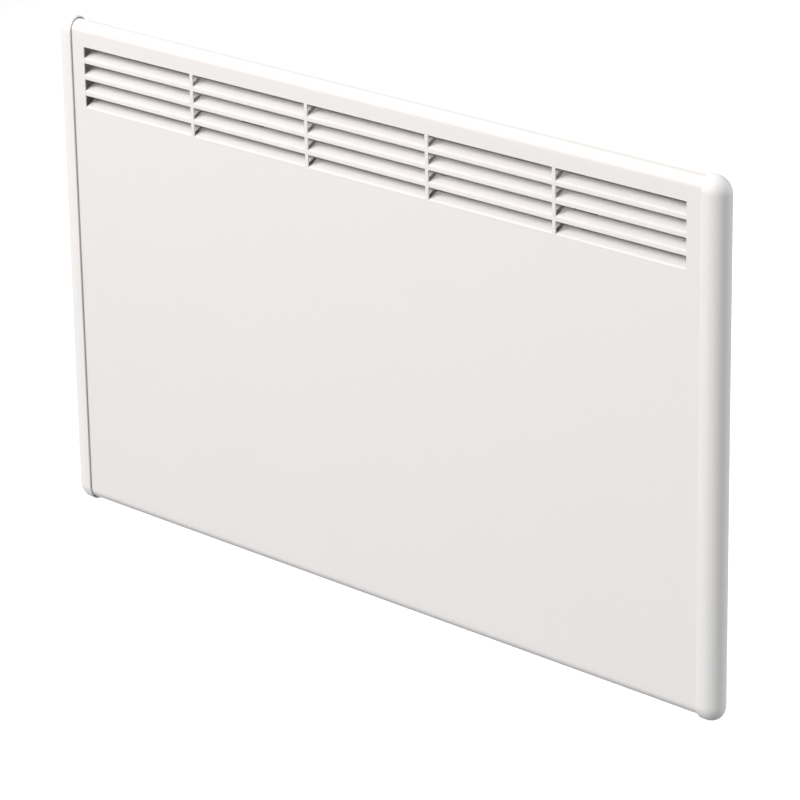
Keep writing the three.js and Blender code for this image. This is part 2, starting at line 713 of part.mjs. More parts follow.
/** Circuit board with its push contacts underneath and larger components on top. */
function controlBoard() {
  const { width, depth, wall } = MODULE;
  const { left, thickness, contact, connector } = BOARD;
  const gap = wall + 0.5;
  const middle = depth / 2;
  const board = block([left, gap, 0], [width - gap, depth - gap, thickness]);
  const contacts = BUTTON_XS.map((x) => block([x - 3, middle - 3, -contact], [x + 3, middle + 3, 0.5]));
  const leadBlock = block([PORT_X - 9, middle - 5, 1], [PORT_X + 9, middle + 5, connector]);
  const capacitors = [76, 87].map((x) => bar("z", 4, 1, 12, [x, middle, 0], 12));
  const hole = bar("z", 8, -3, 4, [WINDOW_X, middle, 0], 16);
  return cut(joined([board, ...contacts, leadBlock, ...capacitors]), [hole]);
}

/** Push button: a domed cap below the housing, a flange inside it and a stem up to its contact. */
function pushButton() {
  const { radius, proud, flange } = BUTTON;
  const inside = MODULE.wall + FIT;
  const stemTop = BOARD.level - BOARD.contact - FIT - BUTTON.travel;
  const profile = [
    [0, -proud],
    [radius * 0.75, -proud + 0.15],
    [radius, -proud + 0.7],
    [radius, inside],
    [flange, inside],
    [flange, inside + 1.2],
    [1.8, inside + 1.2],
    [1.8, stemTop],
    [0, stemTop],
  ];
  return turned("z", profile, 14);
}

/** Bezel of the mains switch, clipped into the underside; its well is open to the rocker. */
function switchFrame() {
  const { half, width, pivot, pivotRise } = ROCKER;
  const { halfWidth, halfDepth, proud } = BEZEL;
  const { halfWidth: side, halfDepth: front, height, blade } = SWITCH_BODY;
  const edge = roundedRectangle(-halfWidth, -halfDepth, halfWidth, halfDepth, 1.5);
  const rim = prism("z", edge, -proud, -FIT, 2);
  const shell = block([-side, -front, -FIT - 0.1], [side, front, height]);
  const well = block([-half - 1, -width / 2 - FIT, -2], [half + 1, width / 2 + FIT, height - 4]);
  const blades = [-6, 0, 6].map((x) => block([x - 2.4, -0.4, height - 1], [x + 2.4, 0.4, blade]));
  const engaged = width / 2 - 1.2;
  const pins = [
    bar("y", pivot, engaged, front, [0, 0, pivotRise], 12),
    bar("y", pivot, -front, -engaged, [0, 0, pivotRise], 12),
  ];
  return joined([cut(rim.add(shell), [well]), ...blades, ...pins]);
}

/** Rocker of the mains switch: a shallow V to press, and a hub round its pivot. */
function switchRocker() {
  const { half, width, drop, hub, pivot } = ROCKER;
  const side = new THREE.Shape();
  side.moveTo(-half, -drop);
  side.quadraticCurveTo(0, -drop + 2.6, half, -drop);
  side.lineTo(half, -drop + 2.2);
  side.absarc(0, 0, hub, 0.2, Math.PI - 0.2);
  side.lineTo(-half, -drop + 2.2);
  const body = prism("y", side, -width / 2, width / 2, 6);
  return body.subtract(bar("y", pivot + FIT, -width, width, [0, 0, 0], 12));
}

/** Light pipe of the floor projector: a tube that holds its lens over the window. */
function projectorBarrel() {
  const profile = [
    [5.6, 0],
    [7.2, 0],
    [7.2, 16],
    [4, 20],
    [2.6, 20],
    [2.6, 17],
    [4.4, 14],
    [4.4, 5],
    [5.6, 4],
    [5.6, 0],
  ];
  return turned("z", profile, 12);
}

/** Biconvex lens of the projector. */
function projectorLens() {
  const profile = [
    [0, -1.6],
    [2.6, -1.2],
    [5.2, 0],
    [5.2, 0.8],
    [2.6, 1.6],
    [0, 1.9],
  ];
  return turned("z", profile, 12);
}

/** Clear window, set flush in the underside. */
function projectorWindow() {
  const { width, depth, thickness } = WINDOW;
  return prism("z", roundedRectangle(-width / 2, -depth / 2, width / 2, depth / 2, 1), 0, thickness, 1);
}

/** Room sensor: a slotted thimble that hangs in the incoming air. */
function roomSensor() {
  const { body, flange, rise, hang } = SENSOR;
  const profile = [
    [0, -hang],
    [body * 0.7, -hang + 0.6],
    [body, -hang + 2],
    [body, -FIT - 1],
    [flange, -FIT - 1],
    [flange, -FIT],
    [body, -FIT],
    [body, rise - 4],
    [1.6, rise - 3],
    [1.6, rise],
    [0, rise],
  ];
  return turned("z", profile, 10);
}

// ---------------------------------------------------------------- mains inlet

/** Cable gland through the casing's underside: threaded shank, flange, and a ribbed tail below. */
function cableGland() {
  const { shank, bore, flange, rise, tail } = GLAND;
  const [ribPitch, ribFoot, ribTop] = [3.8, 5, 5.8];
  const outline = [[bore, -tail]];
  for (let z = 0.1 - tail; z < -4; z += ribPitch) {
    outline.push([ribFoot, z], [ribTop, z + 0.4], [ribTop, z + 2], [ribFoot, z + 2.4]);
  }
  outline.push([flange, -3.4], [flange, -FIT], [shank, -FIT], [shank, rise], [bore, rise], [bore, -tail]);
  return turned("z", outline, 14);
}

/** Hexagonal nut on the gland's shank, inside the casing. */
function glandNut() {
  const height = 5;
  const body = bar("z", GLAND.flange, 0, height, [0, 0, 0], 6);
  return body.subtract(bar("z", GLAND.shank + FIT, -1, height + 1, [0, 0, 0], 16));
}

/** Three-pole terminal block. */
function terminalBlock() {
  const { poles, pitch, depth, height } = TERMINAL_BLOCK;
  const length = poles * pitch + 2;
  const body = block([0, 0, 0], [length, depth, height]);
  const ports = [];
  for (let i = 0; i < poles; i++) {
    const x = 1 + pitch * (i + 0.5);
    ports.push(bar("z", 2.6, -1, height + 1, [x, 8, 0], 10));
    ports.push(bar("y", 2.4, -1, 5, [x, 0, height / 2], 10));
  }
  return cut(body, [joined(ports)]);
}

/** A lead along a smooth route. */
function lead(route, radius = LEAD_RADIUS) {
  const curve = new THREE.CatmullRomCurve3(route.map((p) => new THREE.Vector3(...p)));
  const sides = 5;
  const section = new THREE.Shape();
  for (let i = 0; i < sides; i++) {
    const angle = (2 * Math.PI * i) / sides;
    const point = [radius * Math.cos(angle), radius * Math.sin(angle)];
    if (i) section.lineTo(...point);
    else section.moveTo(...point);
  }
  const geometry = new THREE.ExtrudeGeometry(section, { steps: 18, extrudePath: curve });
  return solid(geometry);
}

// ---------------------------------------------------------------- wall bracket

const CASING_GAP = WALL_DISTANCE - CASING_BACK; // casing's back to the wall
const FLANGE_FRONT = -CASING_GAP + FIT; // the uprights stop just short of the casing
const WEB_BACK = -RAIL.sheet - FIT;

/** Side view of an upright's flange, with the hook that carries the casing. */
function flangeOutline() {
  const slotTop = PANEL_TOP - HOOK_SLOT.top;
  const seat = slotTop - FIT;
  const plateBack = FLANGE_FRONT;
  const noseBack = -CASING_GAP - CASING_SHEET - 2;
  const noseFront = noseBack - HOOK.nose;
  const foot = UPRIGHT.bottom - UPRIGHT_FOOT;
  const outline = new THREE.Shape();
  outline.moveTo(WEB_BACK, foot);
  outline.lineTo(WEB_BACK, UPRIGHT.top);
  outline.lineTo(plateBack / 2, UPRIGHT.top);
  outline.lineTo(plateBack, UPRIGHT.top - 10);
  outline.lineTo(plateBack, seat);
  outline.lineTo(noseBack, seat);
  outline.lineTo(noseBack, seat + HOOK.rise);
  outline.lineTo(noseFront, seat + HOOK.rise - 2);
  outline.lineTo(noseFront, seat - HOOK.depth + 1);
  outline.lineTo(plateBack, seat - HOOK.depth);
  outline.lineTo(plateBack + HOOK.depth, foot);
  return outline;
}

/** Channel-section upright: a web on the rails, two flanges, and lips that keep the latch in. */
function bracketUpright() {
  const { width, sheet, top, bottom } = UPRIGHT;
  const half = width / 2;
  const foot = bottom - UPRIGHT_FOOT;
  const flange = flangeOutline();
  const flanges = [
    prism("x", flange, -half, -half + sheet),
    prism("x", flange, half - sheet, half),
  ];
  const web = block([-half, WEB_BACK - sheet, foot], [half, WEB_BACK, top]);
  const lips = [-1, 1].map((side) => {
    const outer = side * half;
    const inner = side * (half - sheet - 3);
    return block(
      [Math.min(outer, inner), FLANGE_FRONT, -30],
      [Math.max(outer, inner), FLANGE_FRONT + sheet, top - 10],
    );
  });
  const stopTop = LATCH.bottom - LATCH.travel - 2 * FIT;
  const stop = block([-half + 0.5, FLANGE_FRONT + 6, stopTop - sheet], [half - 0.5, WEB_BACK, stopTop]);
  const lightening = [-80, -130, -180].map((z) => prism("y", slotOutline(0, z, 16, 30), -8, 0, 2));
  return cut(joined([...flanges, web, ...lips, stop]), lightening);
}

/** Flat rail against the wall, stiffened by folded lips, with slots for the wall screws. */
function bracketRail() {
  const { half, height, sheet, lip } = RAIL;
  const plate = prism("y", roundedRectangle(-half, -height / 2, half, height / 2, 5), -sheet, 0, 2);
  const clearance = UPRIGHT.width / 2 + 2;
  const lipEnd = half - 8;
  const spans = [
    [-lipEnd, -UPRIGHT_X - clearance],
    [-UPRIGHT_X + clearance, UPRIGHT_X - clearance],
    [UPRIGHT_X + clearance, lipEnd],
  ];
  const lips = spans.flatMap(([from, to]) =>
    [-1, 1].map((side) => {
      const edge = (side * height) / 2;
      const inner = edge - side * sheet;
      return block([from, -lip, Math.min(edge, inner)], [to, 0, Math.max(edge, inner)]);
    }),
  );
  const slots = [-WALL_SLOT.x, WALL_SLOT.x].map((x) =>
    prism("y", slotOutline(x, 0, WALL_SLOT.length, WALL_SLOT.width), -5, 1, 3),
  );
  return cut(joined([plate, ...lips]), slots);
}

/** Sliding latch between the flanges: its nose hooks up inside the casing's back, below a thumb pad. */
function bracketLatch() {
  const { width, bottom, top, pad, back, nose, margin } = LATCH;
  const half = width / 2;
  const front = FLANGE_FRONT + UPRIGHT.sheet + FIT;
  const slotTop = PANEL_TOP - LATCH_SLOT.top;
  const noseBack = -CASING_GAP - CASING_SHEET - 1;
  const noseFront = noseBack - 3;
  const side = new THREE.Shape();
  side.moveTo(back, bottom);
  side.lineTo(back, top);
  side.lineTo(back - 2, top + pad);
  side.lineTo(front + 3, top + pad);
  side.lineTo(front, top + pad - 3);
  side.lineTo(front, bottom);
  const noseSide = new THREE.Shape();
  noseSide.moveTo(front + 1, slotTop - 1);
  noseSide.lineTo(noseBack, slotTop - 1);
  noseSide.lineTo(noseBack, slotTop + 4);
  noseSide.lineTo(noseFront, slotTop + 2);
  noseSide.lineTo(noseFront, slotTop - 5);
  noseSide.lineTo(front + 1, slotTop - 8);
  const body = prism("x", side, -half, half).add(prism("x", noseSide, -nose / 2, nose / 2));
  const grips = [0, 1, 2, 3].map((i) => {
    const y = front + 5 + i * 3.2;
    return block([-half + margin, y, top + pad - 1], [half - margin, y + 1.4, top + pad + 2]);
  });
  const pocket = block(
    [-half + margin, front + margin, bottom - 1],
    [half - margin, back - margin, bottom + 10],
  );
  return cut(body, [...grips, pocket]);
}

// ---------------------------------------------------------------- assembly

const SIDES = [["left", -1], ["right", 1]];

/** The panel, the casing, the end caps and the screws. */
function buildCasing() {
  const casing = new THREE.Group();
  place(casing, "front_panel", frontPanel(), POWDER_COAT);
  place(casing, "rear_casing", rearCasing(), POWDER_COAT);
  SIDES.forEach(([name, side]) => {
    place(casing, `${name}_end_cap`, rightEndCap(), CAP_PLASTIC, [0, 0, 0], side);
  });
  screwPlaces.forEach(([x, z], i) => {
    place(casing, `casing_screw_${i + 1}`, screw(), STEEL, [x, RIM_BACK + FIT, z]);
  });
  return casing;
}

/** The heating element between its hangers. */
function buildElement() {
  const element = new THREE.Group();
  element.position.set(...ELEMENT_AXIS);
  place(element, "heating_element", heatingElement(), ALUMINIUM);
  const bushX = ELEMENT.half + 4;
  const terminalX = ELEMENT.half + HUB_OVERHANG + FIT;
  SIDES.forEach(([name, side]) => {
    place(element, `${name}_element_hanger`, elementHanger(), GALVANISED, [side * bushX, 0, 0], -side);
    place(element, `${name}_element_bush`, elementBush(), CERAMIC, [side * bushX, 0, 0], side);
    place(element, `${name}_element_terminal`, elementTerminal(), STEEL, [side * terminalX, 0, 0], side);
  });
  return element;
}

/** The overheat cut-out on its clip, its tabs forward. */
function buildCutout() {
  const group = new THREE.Group();
  group.position.set(CUTOUT.x, CASING_BACK - CASING_SHEET - FIT, -CUTOUT.drop);
  const seat = [0, -CLIP.reach - CLIP.sheet / 2 - FIT, 0];
  place(group, "cutout_clip", cutoutClip(), GALVANISED);
  const cutout = place(group, "overheat_cutout", overheatCutout(), BLACK_PLASTIC, seat);
  cutout.rotation.z = Math.PI;
  return group;
}

/** The thermostat module with its controls and its floor projector. */
function buildModule() {
  const module = new THREE.Group();
  module.position.set(MODULE.left, MODULE_FRONT, -MODULE_DROP);
  const middle = MODULE.depth / 2;
  const barrelFoot = MODULE.wall + FIT;
  place(module, "module_housing", moduleHousing(), MODULE_PLASTIC);
  place(module, "module_cover", moduleCover(), MODULE_PLASTIC, [0, 0, MODULE.height + FIT]);
  place(module, "control_board", controlBoard(), BOARD_GREEN, [0, 0, BOARD.level]);
  const relay = block([0, 0, 0], [RELAY.width, RELAY.depth, RELAY.height]);
  const relayAt = [RELAY.left, RELAY.front, BOARD.level + BOARD.thickness + FIT];
  place(module, "power_relay", relay, RELAY_BLUE, relayAt);
  place(module, "projector_barrel", projectorBarrel(), BLACK_PLASTIC, [WINDOW_X, middle, barrelFoot]);
  place(module, "projector_lens", projectorLens(), AMBER, [WINDOW_X, middle, barrelFoot + LENS_RISE]);
  place(module, "projector_window", projectorWindow(), CLEAR, [WINDOW_X, middle, 0]);
  place(module, "switch_frame", switchFrame(), BLACK_PLASTIC, [SWITCH_X, middle, 0]);
  const rockerAt = [SWITCH_X, middle, ROCKER.pivotRise];
  const rocker = place(module, "switch_rocker", switchRocker(), BLACK_PLASTIC, rockerAt);
  rocker.rotation.y = rad(ROCKER.tilt);
  ["minus_button", "mode_button", "plus_button"].forEach((name, i) => {
    place(module, name, pushButton(), BLACK_PLASTIC, [BUTTON_XS[i], middle, 0]);
  });
  moduleScrews.forEach(([x, z], i) => {
    const seat = [x - MODULE.left, CASING_BACK + FIT - MODULE_FRONT, z + MODULE_DROP];
    place(module, `module_screw_${i + 1}`, screw(), STEEL, seat);
  });
  return module;
}

/** Routes of the leads, in the heater's frame. All but one come up out of the module's lid. */
function leadRoutes() {
  const middle = MODULE_FRONT + MODULE.depth / 2;
  const connectorTop = -MODULE_DROP + BOARD.level + BOARD.connector + FIT;
  const lidTop = -MODULE_DROP + MODULE.height + 3;
  const terminalFoot = ELEMENT.half + HUB_OVERHANG + FIT;
  const pinEnd = terminalFoot + 4.5 + TERMINAL.beadLength + TERMINAL.pinLength;
  const axis = -ELEMENT.drop;
  const tabZ = -CUTOUT.drop;
  const blockTop = TERMINAL_BLOCK.z + TERMINAL_BLOCK.height;
  const rising = (pole) => {
    const x = MODULE.left + PORT_X + pole * 3.2;
    return [
      [x, middle, connectorTop],
      [x, middle, lidTop],
    ];
  };
  return {
    mains_lead_live: [
      ...rising(-1),
      [155, 38, -331],
      [110, 43, -330],
      [70, 45.7, -334],
      [68.5, 45.7, blockTop + 3],
      [68.5, 45.7, blockTop - 6],
    ],
    mains_lead_neutral: [
      ...rising(-2),
      [150, 38, -337],
      [118, 43, -336],
      [93, 45.7, -338],
      [90.5, 45.7, blockTop],
      [90.5, 45.7, blockTop - 6],
    ],
    cutout_lead: [
      ...rising(0),
      [166, 36, -324],
      [138, 38, -314],
      [60, 46, -298],
      [0, 46, -264],
      [CUTOUT.x + 22, 34, tabZ - 3],
      [CUTOUT.x + 7, 31, tabZ],
    ],
    right_element_lead: [
      ...rising(1),
      [184, 36, -326],
      [226, 38, -318],
      [268, 35, -312],
      [pinEnd + 4, 30, -298],
      [pinEnd + 4, ELEMENT.depth, axis - 3],
      [pinEnd + 0.4, ELEMENT.depth, axis],
    ],
    left_element_lead: [
      [CUTOUT.x - 7, 31, tabZ],
      [CUTOUT.x - 24, 36, tabZ - 2],
      [-130, 46, -252],
      [-230, 48, -254],
      [-270, 44, -262],
      [-pinEnd - 4, 34, axis + 8],
      [-pinEnd - 4, ELEMENT.depth, axis + 2],
      [-pinEnd - 0.4, ELEMENT.depth, axis],
    ],
    sensor_lead: [
      ...rising(2),
      [175, 30, -330],
      [150, 26, -324],
      [104, 28, -328],
      [76, 31, -342],
      [SENSOR.x, 33, -358],
      [SENSOR.x, BOTTOM_MIDDLE, -MOUTH.bottom + SENSOR.rise + FIT],
    ],
  };
}

/** The gland, the room sensor, the terminal block and the leads. */
function buildWiring() {
  const wiring = new THREE.Group();
  const floor = -MOUTH.bottom;
  const nutFoot = floor + CASING_SHEET + 2 * FIT;
  place(wiring, "cable_gland", cableGland(), BLACK_PLASTIC, [GLAND.x, BOTTOM_MIDDLE, floor]);
  place(wiring, "gland_nut", glandNut(), BLACK_PLASTIC, [GLAND.x, BOTTOM_MIDDLE, nutFoot]);
  place(wiring, "room_sensor", roomSensor(), BLACK_PLASTIC, [SENSOR.x, BOTTOM_MIDDLE, floor]);
  const blockFront = CASING_BACK - CASING_SHEET - FIT - TERMINAL_BLOCK.depth;
  const blockAt = [TERMINAL_BLOCK.x, blockFront, TERMINAL_BLOCK.z];
  place(wiring, "terminal_block", terminalBlock(), MODULE_PLASTIC, blockAt);
  const colours = {
    mains_lead_live: LEAD_BROWN,
    mains_lead_neutral: LEAD_BLUE,
    cutout_lead: LEAD_BROWN,
    right_element_lead: LEAD_BLUE,
    left_element_lead: LEAD_BROWN,
    sensor_lead: LEAD_BLACK,
  };
  for (const [name, route] of Object.entries(leadRoutes())) {
    place(wiring, name, lead(route), colours[name]);
  }
  return wiring;
}

/** The wall bracket, in the row's own frame. */
function buildBracket() {
  const bracket = new THREE.Group();
  place(bracket, "upper_bracket_rail", bracketRail(), GALVANISED);
  place(bracket, "lower_bracket_rail", bracketRail(), GALVANISED, [0, 0, -RAIL.gap]);
  SIDES.forEach(([name, side]) => {
    const at = [side * UPRIGHT_X, 0, 0];
    place(bracket, `${name}_bracket_upright`, bracketUpright(), GALVANISED, at);
    place(bracket, `${name}_bracket_latch`, bracketLatch(), BLACK_PLASTIC, at);
  });
  return bracket;
}

const heater = new THREE.Group();
heater.position.set(0, -WALL_DISTANCE, PANEL_TOP);
heater.add(buildCasing(), buildElement(), buildCutout(), buildModule(), buildWiring());

const object = new THREE.Group();
object.add(heater, buildBracket());

export default object;
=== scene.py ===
"""Looks of a wall panel convector heater.

The pieces are its folded louvred front, end caps, rear casing, controls, wiring and wall bracket.
Shapes are worked out in millimetres in the heater's own frame (X right, Y back from the panel's
front, Z up from the panel's top edge) or the bracket's (Y back to the wall, Z up from the upper
rail), and are turned into metres as each piece is made.
"""

from __future__ import annotations

import sys
import logging
import math
from dataclasses import dataclass
from enum import Enum
from typing import Iterable, Iterator, Sequence

import bmesh
import bpy
from mathutils import Matrix, Vector


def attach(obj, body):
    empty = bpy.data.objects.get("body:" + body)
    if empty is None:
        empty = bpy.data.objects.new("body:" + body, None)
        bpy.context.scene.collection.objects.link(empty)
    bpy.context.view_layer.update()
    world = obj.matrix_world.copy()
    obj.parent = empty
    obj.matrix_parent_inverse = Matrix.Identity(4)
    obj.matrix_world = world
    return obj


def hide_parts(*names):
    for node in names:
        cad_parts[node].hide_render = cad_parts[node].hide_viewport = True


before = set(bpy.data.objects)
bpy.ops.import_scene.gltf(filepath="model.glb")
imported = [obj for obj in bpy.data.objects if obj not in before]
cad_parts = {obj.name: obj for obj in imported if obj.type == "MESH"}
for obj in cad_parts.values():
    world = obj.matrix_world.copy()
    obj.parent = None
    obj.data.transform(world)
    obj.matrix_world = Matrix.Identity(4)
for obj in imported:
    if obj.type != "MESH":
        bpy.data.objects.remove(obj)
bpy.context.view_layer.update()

log = logging.getLogger("heater")

MM = 0.001
HEATER = Vector((0.0, -80.0, 79.0))  # the panel's front and top edge, seen from the upper rail
BRACKET = Vector((0.0, 0.0, 0.0))
HEATER_BODY = "heater"
FIT = 0.3  # gap between pieces that seat on each other
HAIR = 1e-5  # points closer than this are one
NODE_HAIR = 1e-3  # the same for the corners of a node of the frame
OVERRUN = 3.0  # how far a cutting tool stands out of what it cuts
SOFT_ANGLE = 50.0  # edges flatter than this are shaded as one curve

Point2 = tuple[float, float]
Point3 = tuple[float, float, float]
Colour = tuple[float, float, float]
Socket = bpy.types.NodeSocket


class Axis(Enum):
    """The axis that a section is drawn out along or a profile is turned about."""

    X = 0
    Y = 1
    Z = 2

    def point(self, u: float, v: float, w: float) -> Vector:
        """A point at (u, v) in the section's plane and w along the axis."""
        return Vector({Axis.X: (w, u, v), Axis.Y: (u, w, v), Axis.Z: (u, v, w)}[self])


class Side(Enum):
    """The heater's left or right half, as seen from the room."""

    LEFT = -1
    RIGHT = 1

    @property
    def word(self) -> str:
        """The side's name in piece names."""
        return self.name.lower()


# ----------------------------------------------------------------------------------- outlines


def elliptic_arc(
    centre: Point2, radii: Point2, start: float, end: float, steps: int = 6
) -> list[Point2]:
    """Points along an elliptical arc between two angles in degrees, in that many chords."""
    turns = [math.radians(start + (end - start) * i / steps) for i in range(steps + 1)]
    return [(centre[0] + radii[0] * math.cos(t), centre[1] + radii[1] * math.sin(t)) for t in turns]


def arc(centre: Point2, radius: float, start: float, end: float, steps: int = 6) -> list[Point2]:
    """Points along a round arc between two angles in degrees, in that many chords."""
    return elliptic_arc(centre, (radius, radius), start, end, steps)


def circle(centre: Point2, radius: float, sides: int) -> list[Point2]:
    """Points round a circle, anticlockwise."""
    return arc(centre, radius, 0, 360, sides)[:-1]


def rectangle(low: Point2, high: Point2, radius: float, steps: int = 6) -> list[Point2]:
    """A rectangle with rounded corners, anticlockwise.

    Args:
        low: Its lowest corner.
        high: Its highest corner.
        radius: Corner radius.
        steps: Chords in each corner.

    Returns:
        4 * (steps + 1) points.
    """
    corners = [
        ((high[0] - radius, low[1] + radius), -90),
        ((high[0] - radius, high[1] - radius), 0),
        ((low[0] + radius, high[1] - radius), 90),
        ((low[0] + radius, low[1] + radius), 180),
    ]
    return [p for centre, start in corners for p in arc(centre, radius, start, start + 90, steps)]


def slot(centre: Point2, width: float, height: float, steps: int = 6) -> list[Point2]:
    """A slot with round ends, anticlockwise.

    Args:
        centre: Its centre.
        width: Its first size.
        height: Its second size.
        steps: Chords in each quarter of its ends.

    Returns:
        4 * (steps + 1) points.
    """
    radius = min(width, height) / 2 - 0.001
    low = (centre[0] - width / 2, centre[1] - height / 2)
    high = (centre[0] + width / 2, centre[1] + height / 2)
    return rectangle(low, high, radius, steps)


def quarter_turn(steps: int) -> list[float]:
    """Angles in radians from 0 to a right angle."""
    return [math.radians(90 * i / steps) for i in range(steps + 1)]


def stepped(start: float, end: float, step: float) -> Iterator[float]:
    """Places from start up to or down to end, one step apart.

    Args:
        start: The first place.
        end: No place reaches this one.
        step: The step, negative to go down.

    Yields:
        Each place.
    """
    place = start
    while (end - place) * step > 0:
        yield place
        place += step


# ------------------------------------------------------------------------------------- blanks


def put_in_scene(name: str, data: bpy.types.ID) -> bpy.types.Object:
    """Makes an object and links it to the scene.

    Args:
        name: The object's name.
        data: Its mesh, lamp or camera.

    Returns:
        The object.
    """
    made = bpy.data.objects.new(name, data)
    bpy.context.scene.collection.objects.link(made)
    return made


class Blank:
    """Raw geometry in millimetres, made up of closed skins, before it gets a finish."""

    def __init__(self) -> None:
        """Starts with no geometry."""
        self.mesh = bmesh.new()

    def skin(self, rings: Sequence[Sequence[Vector]], closed: bool = False) -> Blank:
        """Adds a skin through rings of equal length.

        Args:
            rings: Rings of points. A ring whose points all coincide becomes a pole.
            closed: True if the last ring meets the first, as on a bored piece. Otherwise both
                ends are capped.

        Returns:
            This blank.
        """
        made = [[self.mesh.verts.new(p) for p in ring] for ring in rings]
        count = len(made[0])
        pairs = list(zip(made, made[1:] + made[:1])) if closed else list(zip(made, made[1:]))
        for near, far in pairs:
            for i in range(count):
                j = (i + 1) % count
                self.mesh.faces.new((near[i], near[j], far[j], far[i]))
        if not closed:
            self.mesh.faces.new(list(reversed(made[0])))
            self.mesh.faces.new(made[-1])
        bmesh.ops.remove_doubles(self.mesh, verts=self.mesh.verts, dist=HAIR)
        bmesh.ops.recalc_face_normals(self.mesh, faces=self.mesh.faces)
        return self

    def prism(self, axis: Axis, outline: Sequence[Point2], start: float, end: float) -> Blank:
        """Adds an outline drawn out along an axis."""
        return self.skin([[axis.point(u, v, w) for u, v in outline] for w in (start, end)])

    def block(self, low: Point3, high: Point3) -> Blank:
        """Adds a block between two opposite corners."""
        outline = [(low[0], low[1]), (high[0], low[1]), (high[0], high[1]), (low[0], high[1])]
        return self.prism(Axis.Z, outline, low[2], high[2])

    def turned(
        self, axis: Axis, profile: Sequence[Point2], sides: int = 40, closed: bool = False
    ) -> Blank:
        """Adds a turned shape.

        Args:
            axis: The axis it is turned about.
            profile: (radius, height) pairs, from pole to pole, or round and back for a closed one.
            sides: Facets round it.
            closed: True for a bored piece, whose profile never meets the axis.

        Returns:
            This blank.
        """
        rings = []
        for radius, height in profile:
            rings.append([axis.point(u, v, height) for u, v in circle((0, 0), radius, sides)])
        return self.skin(rings, closed)

    def washer(self, outer: float, inner: float, low: float, high: float) -> Blank:
        """Adds a flat ring about Z."""
        profile = [(outer, low), (outer, high), (inner, high), (inner, low)]
        return self.turned(Axis.Z, profile, 32, closed=True)

    def tube(self, route: Sequence[Vector], radius: float, sides: int = 12) -> Blank:
        """Adds a round tube along a smooth route.

        Args:
            route: Points on its middle line.
            radius: Its radius.
            sides: Facets round it.

        Returns:
            This blank.
        """
        rings = []
        across = Vector((0.36, 0.48, 0.8))  # any direction that no lead starts in
        for i, point in enumerate(route):
            along = (route[min(i + 1, len(route) - 1)] - route[max(i - 1, 0)]).normalized()
            across = (across - along * across.dot(along)).normalized()
            other = along.cross(across)
            ring = circle((0, 0), radius, sides)
            rings.append([point + across * u + other * v for u, v in ring])
        return self.skin(rings)

    def moved(self, x: float = 0, y: float = 0, z: float = 0) -> Blank:
        """Shifts everything in the blank."""
        bmesh.ops.translate(self.mesh, verts=self.mesh.verts, vec=(x, y, z))
        return self

    def rolled(self, axis: Axis, degrees: float) -> Blank:
        """Turns everything in the blank about an axis through its origin.

        Args:
            axis: The axis.
            degrees: The angle.

        Returns:
            This blank.
        """
        turn = Matrix.Rotation(math.radians(degrees), 3, axis.name)
        bmesh.ops.rotate(self.mesh, verts=self.mesh.verts, cent=(0, 0, 0), matrix=turn)
        return self

    def mirrored(self, side: Side) -> Blank:
        """Leaves the blank as it is for the right side, and mirrors it for the left.

        Args:
            side: The side that the blank is for.

        Returns:
            This blank.
        """
        if side is Side.LEFT:
            bmesh.ops.scale(self.mesh, verts=self.mesh.verts, vec=(-1, 1, 1))
            bmesh.ops.reverse_faces(self.mesh, faces=self.mesh.faces)
        return self

    def with_skins_of(self, others: Iterable[Blank]) -> Blank:
        """Takes in the skins of other blanks, as they are.

        Args:
            others: The other blanks.

        Returns:
            This blank.
        """
        for other in others:
            copy = bpy.data.meshes.new("skins")
            other.mesh.to_mesh(copy)
            self.mesh.from_mesh(copy)
            bpy.data.meshes.remove(copy)
        return self

    def _as_object(self, name: str) -> bpy.types.Object:
        """Puts a copy of the blank into the scene, for a modifier to work on.

        Args:
            name: The copy's name.

        Returns:
            The copy.
        """
        data = bpy.data.meshes.new(name)
        self.mesh.to_mesh(data)
        return put_in_scene(name, data)

    def _take_result(self, base: bpy.types.Object, *others: bpy.types.Object) -> Blank:
        """Takes over what a copy's modifiers made of it, and clears the copies away.

        Args:
            base: The copy with the modifiers.
            *others: Further copies that the modifiers needed.

        Returns:
            This blank.
        """
        bpy.context.view_layer.update()
        evaluated = base.evaluated_get(bpy.context.evaluated_depsgraph_get())
        data = bpy.data.meshes.new_from_object(evaluated)
        self.mesh.free()
        self.mesh = bmesh.new()
        self.mesh.from_mesh(data)
        bpy.data.meshes.remove(data)
        for leftover in (base, *others):
            held = leftover.data
            bpy.data.objects.remove(leftover)
            bpy.data.meshes.remove(held)
        return self

    def _combined(self, tool: Blank, operation: str) -> Blank:
        """Combines the blank with another one.

        Args:
            tool: The other blank.
            operation: DIFFERENCE, UNION or INTERSECT.

        Returns:
            This blank.
        """
        base, other = self._as_object("base"), tool._as_object("tool")
        modifier = base.modifiers.new("joint", "BOOLEAN")
        modifier.operation = operation
        modifier.object = other
        modifier.solver = "MANIFOLD"
        return self._take_result(base, other)

    def cut(self, *tools: Blank) -> Blank:
        """Cuts tools out of the blank.

        Args:
            *tools: The tools, one after another.

        Returns:
            This blank.
        """
        for tool in tools:
            self._combined(tool, "DIFFERENCE")
        return self

    def joined(self, *parts: Blank) -> Blank:
        """Welds overlapping parts on.

        Args:
            *parts: The parts, one after another.

        Returns:
            This blank.
        """
        for part in parts:
            self._combined(part, "UNION")
        return self

    def kept_within(self, limit: Blank) -> Blank:
        """Keeps only what lies inside another blank."""
        return self._combined(limit, "INTERSECT")

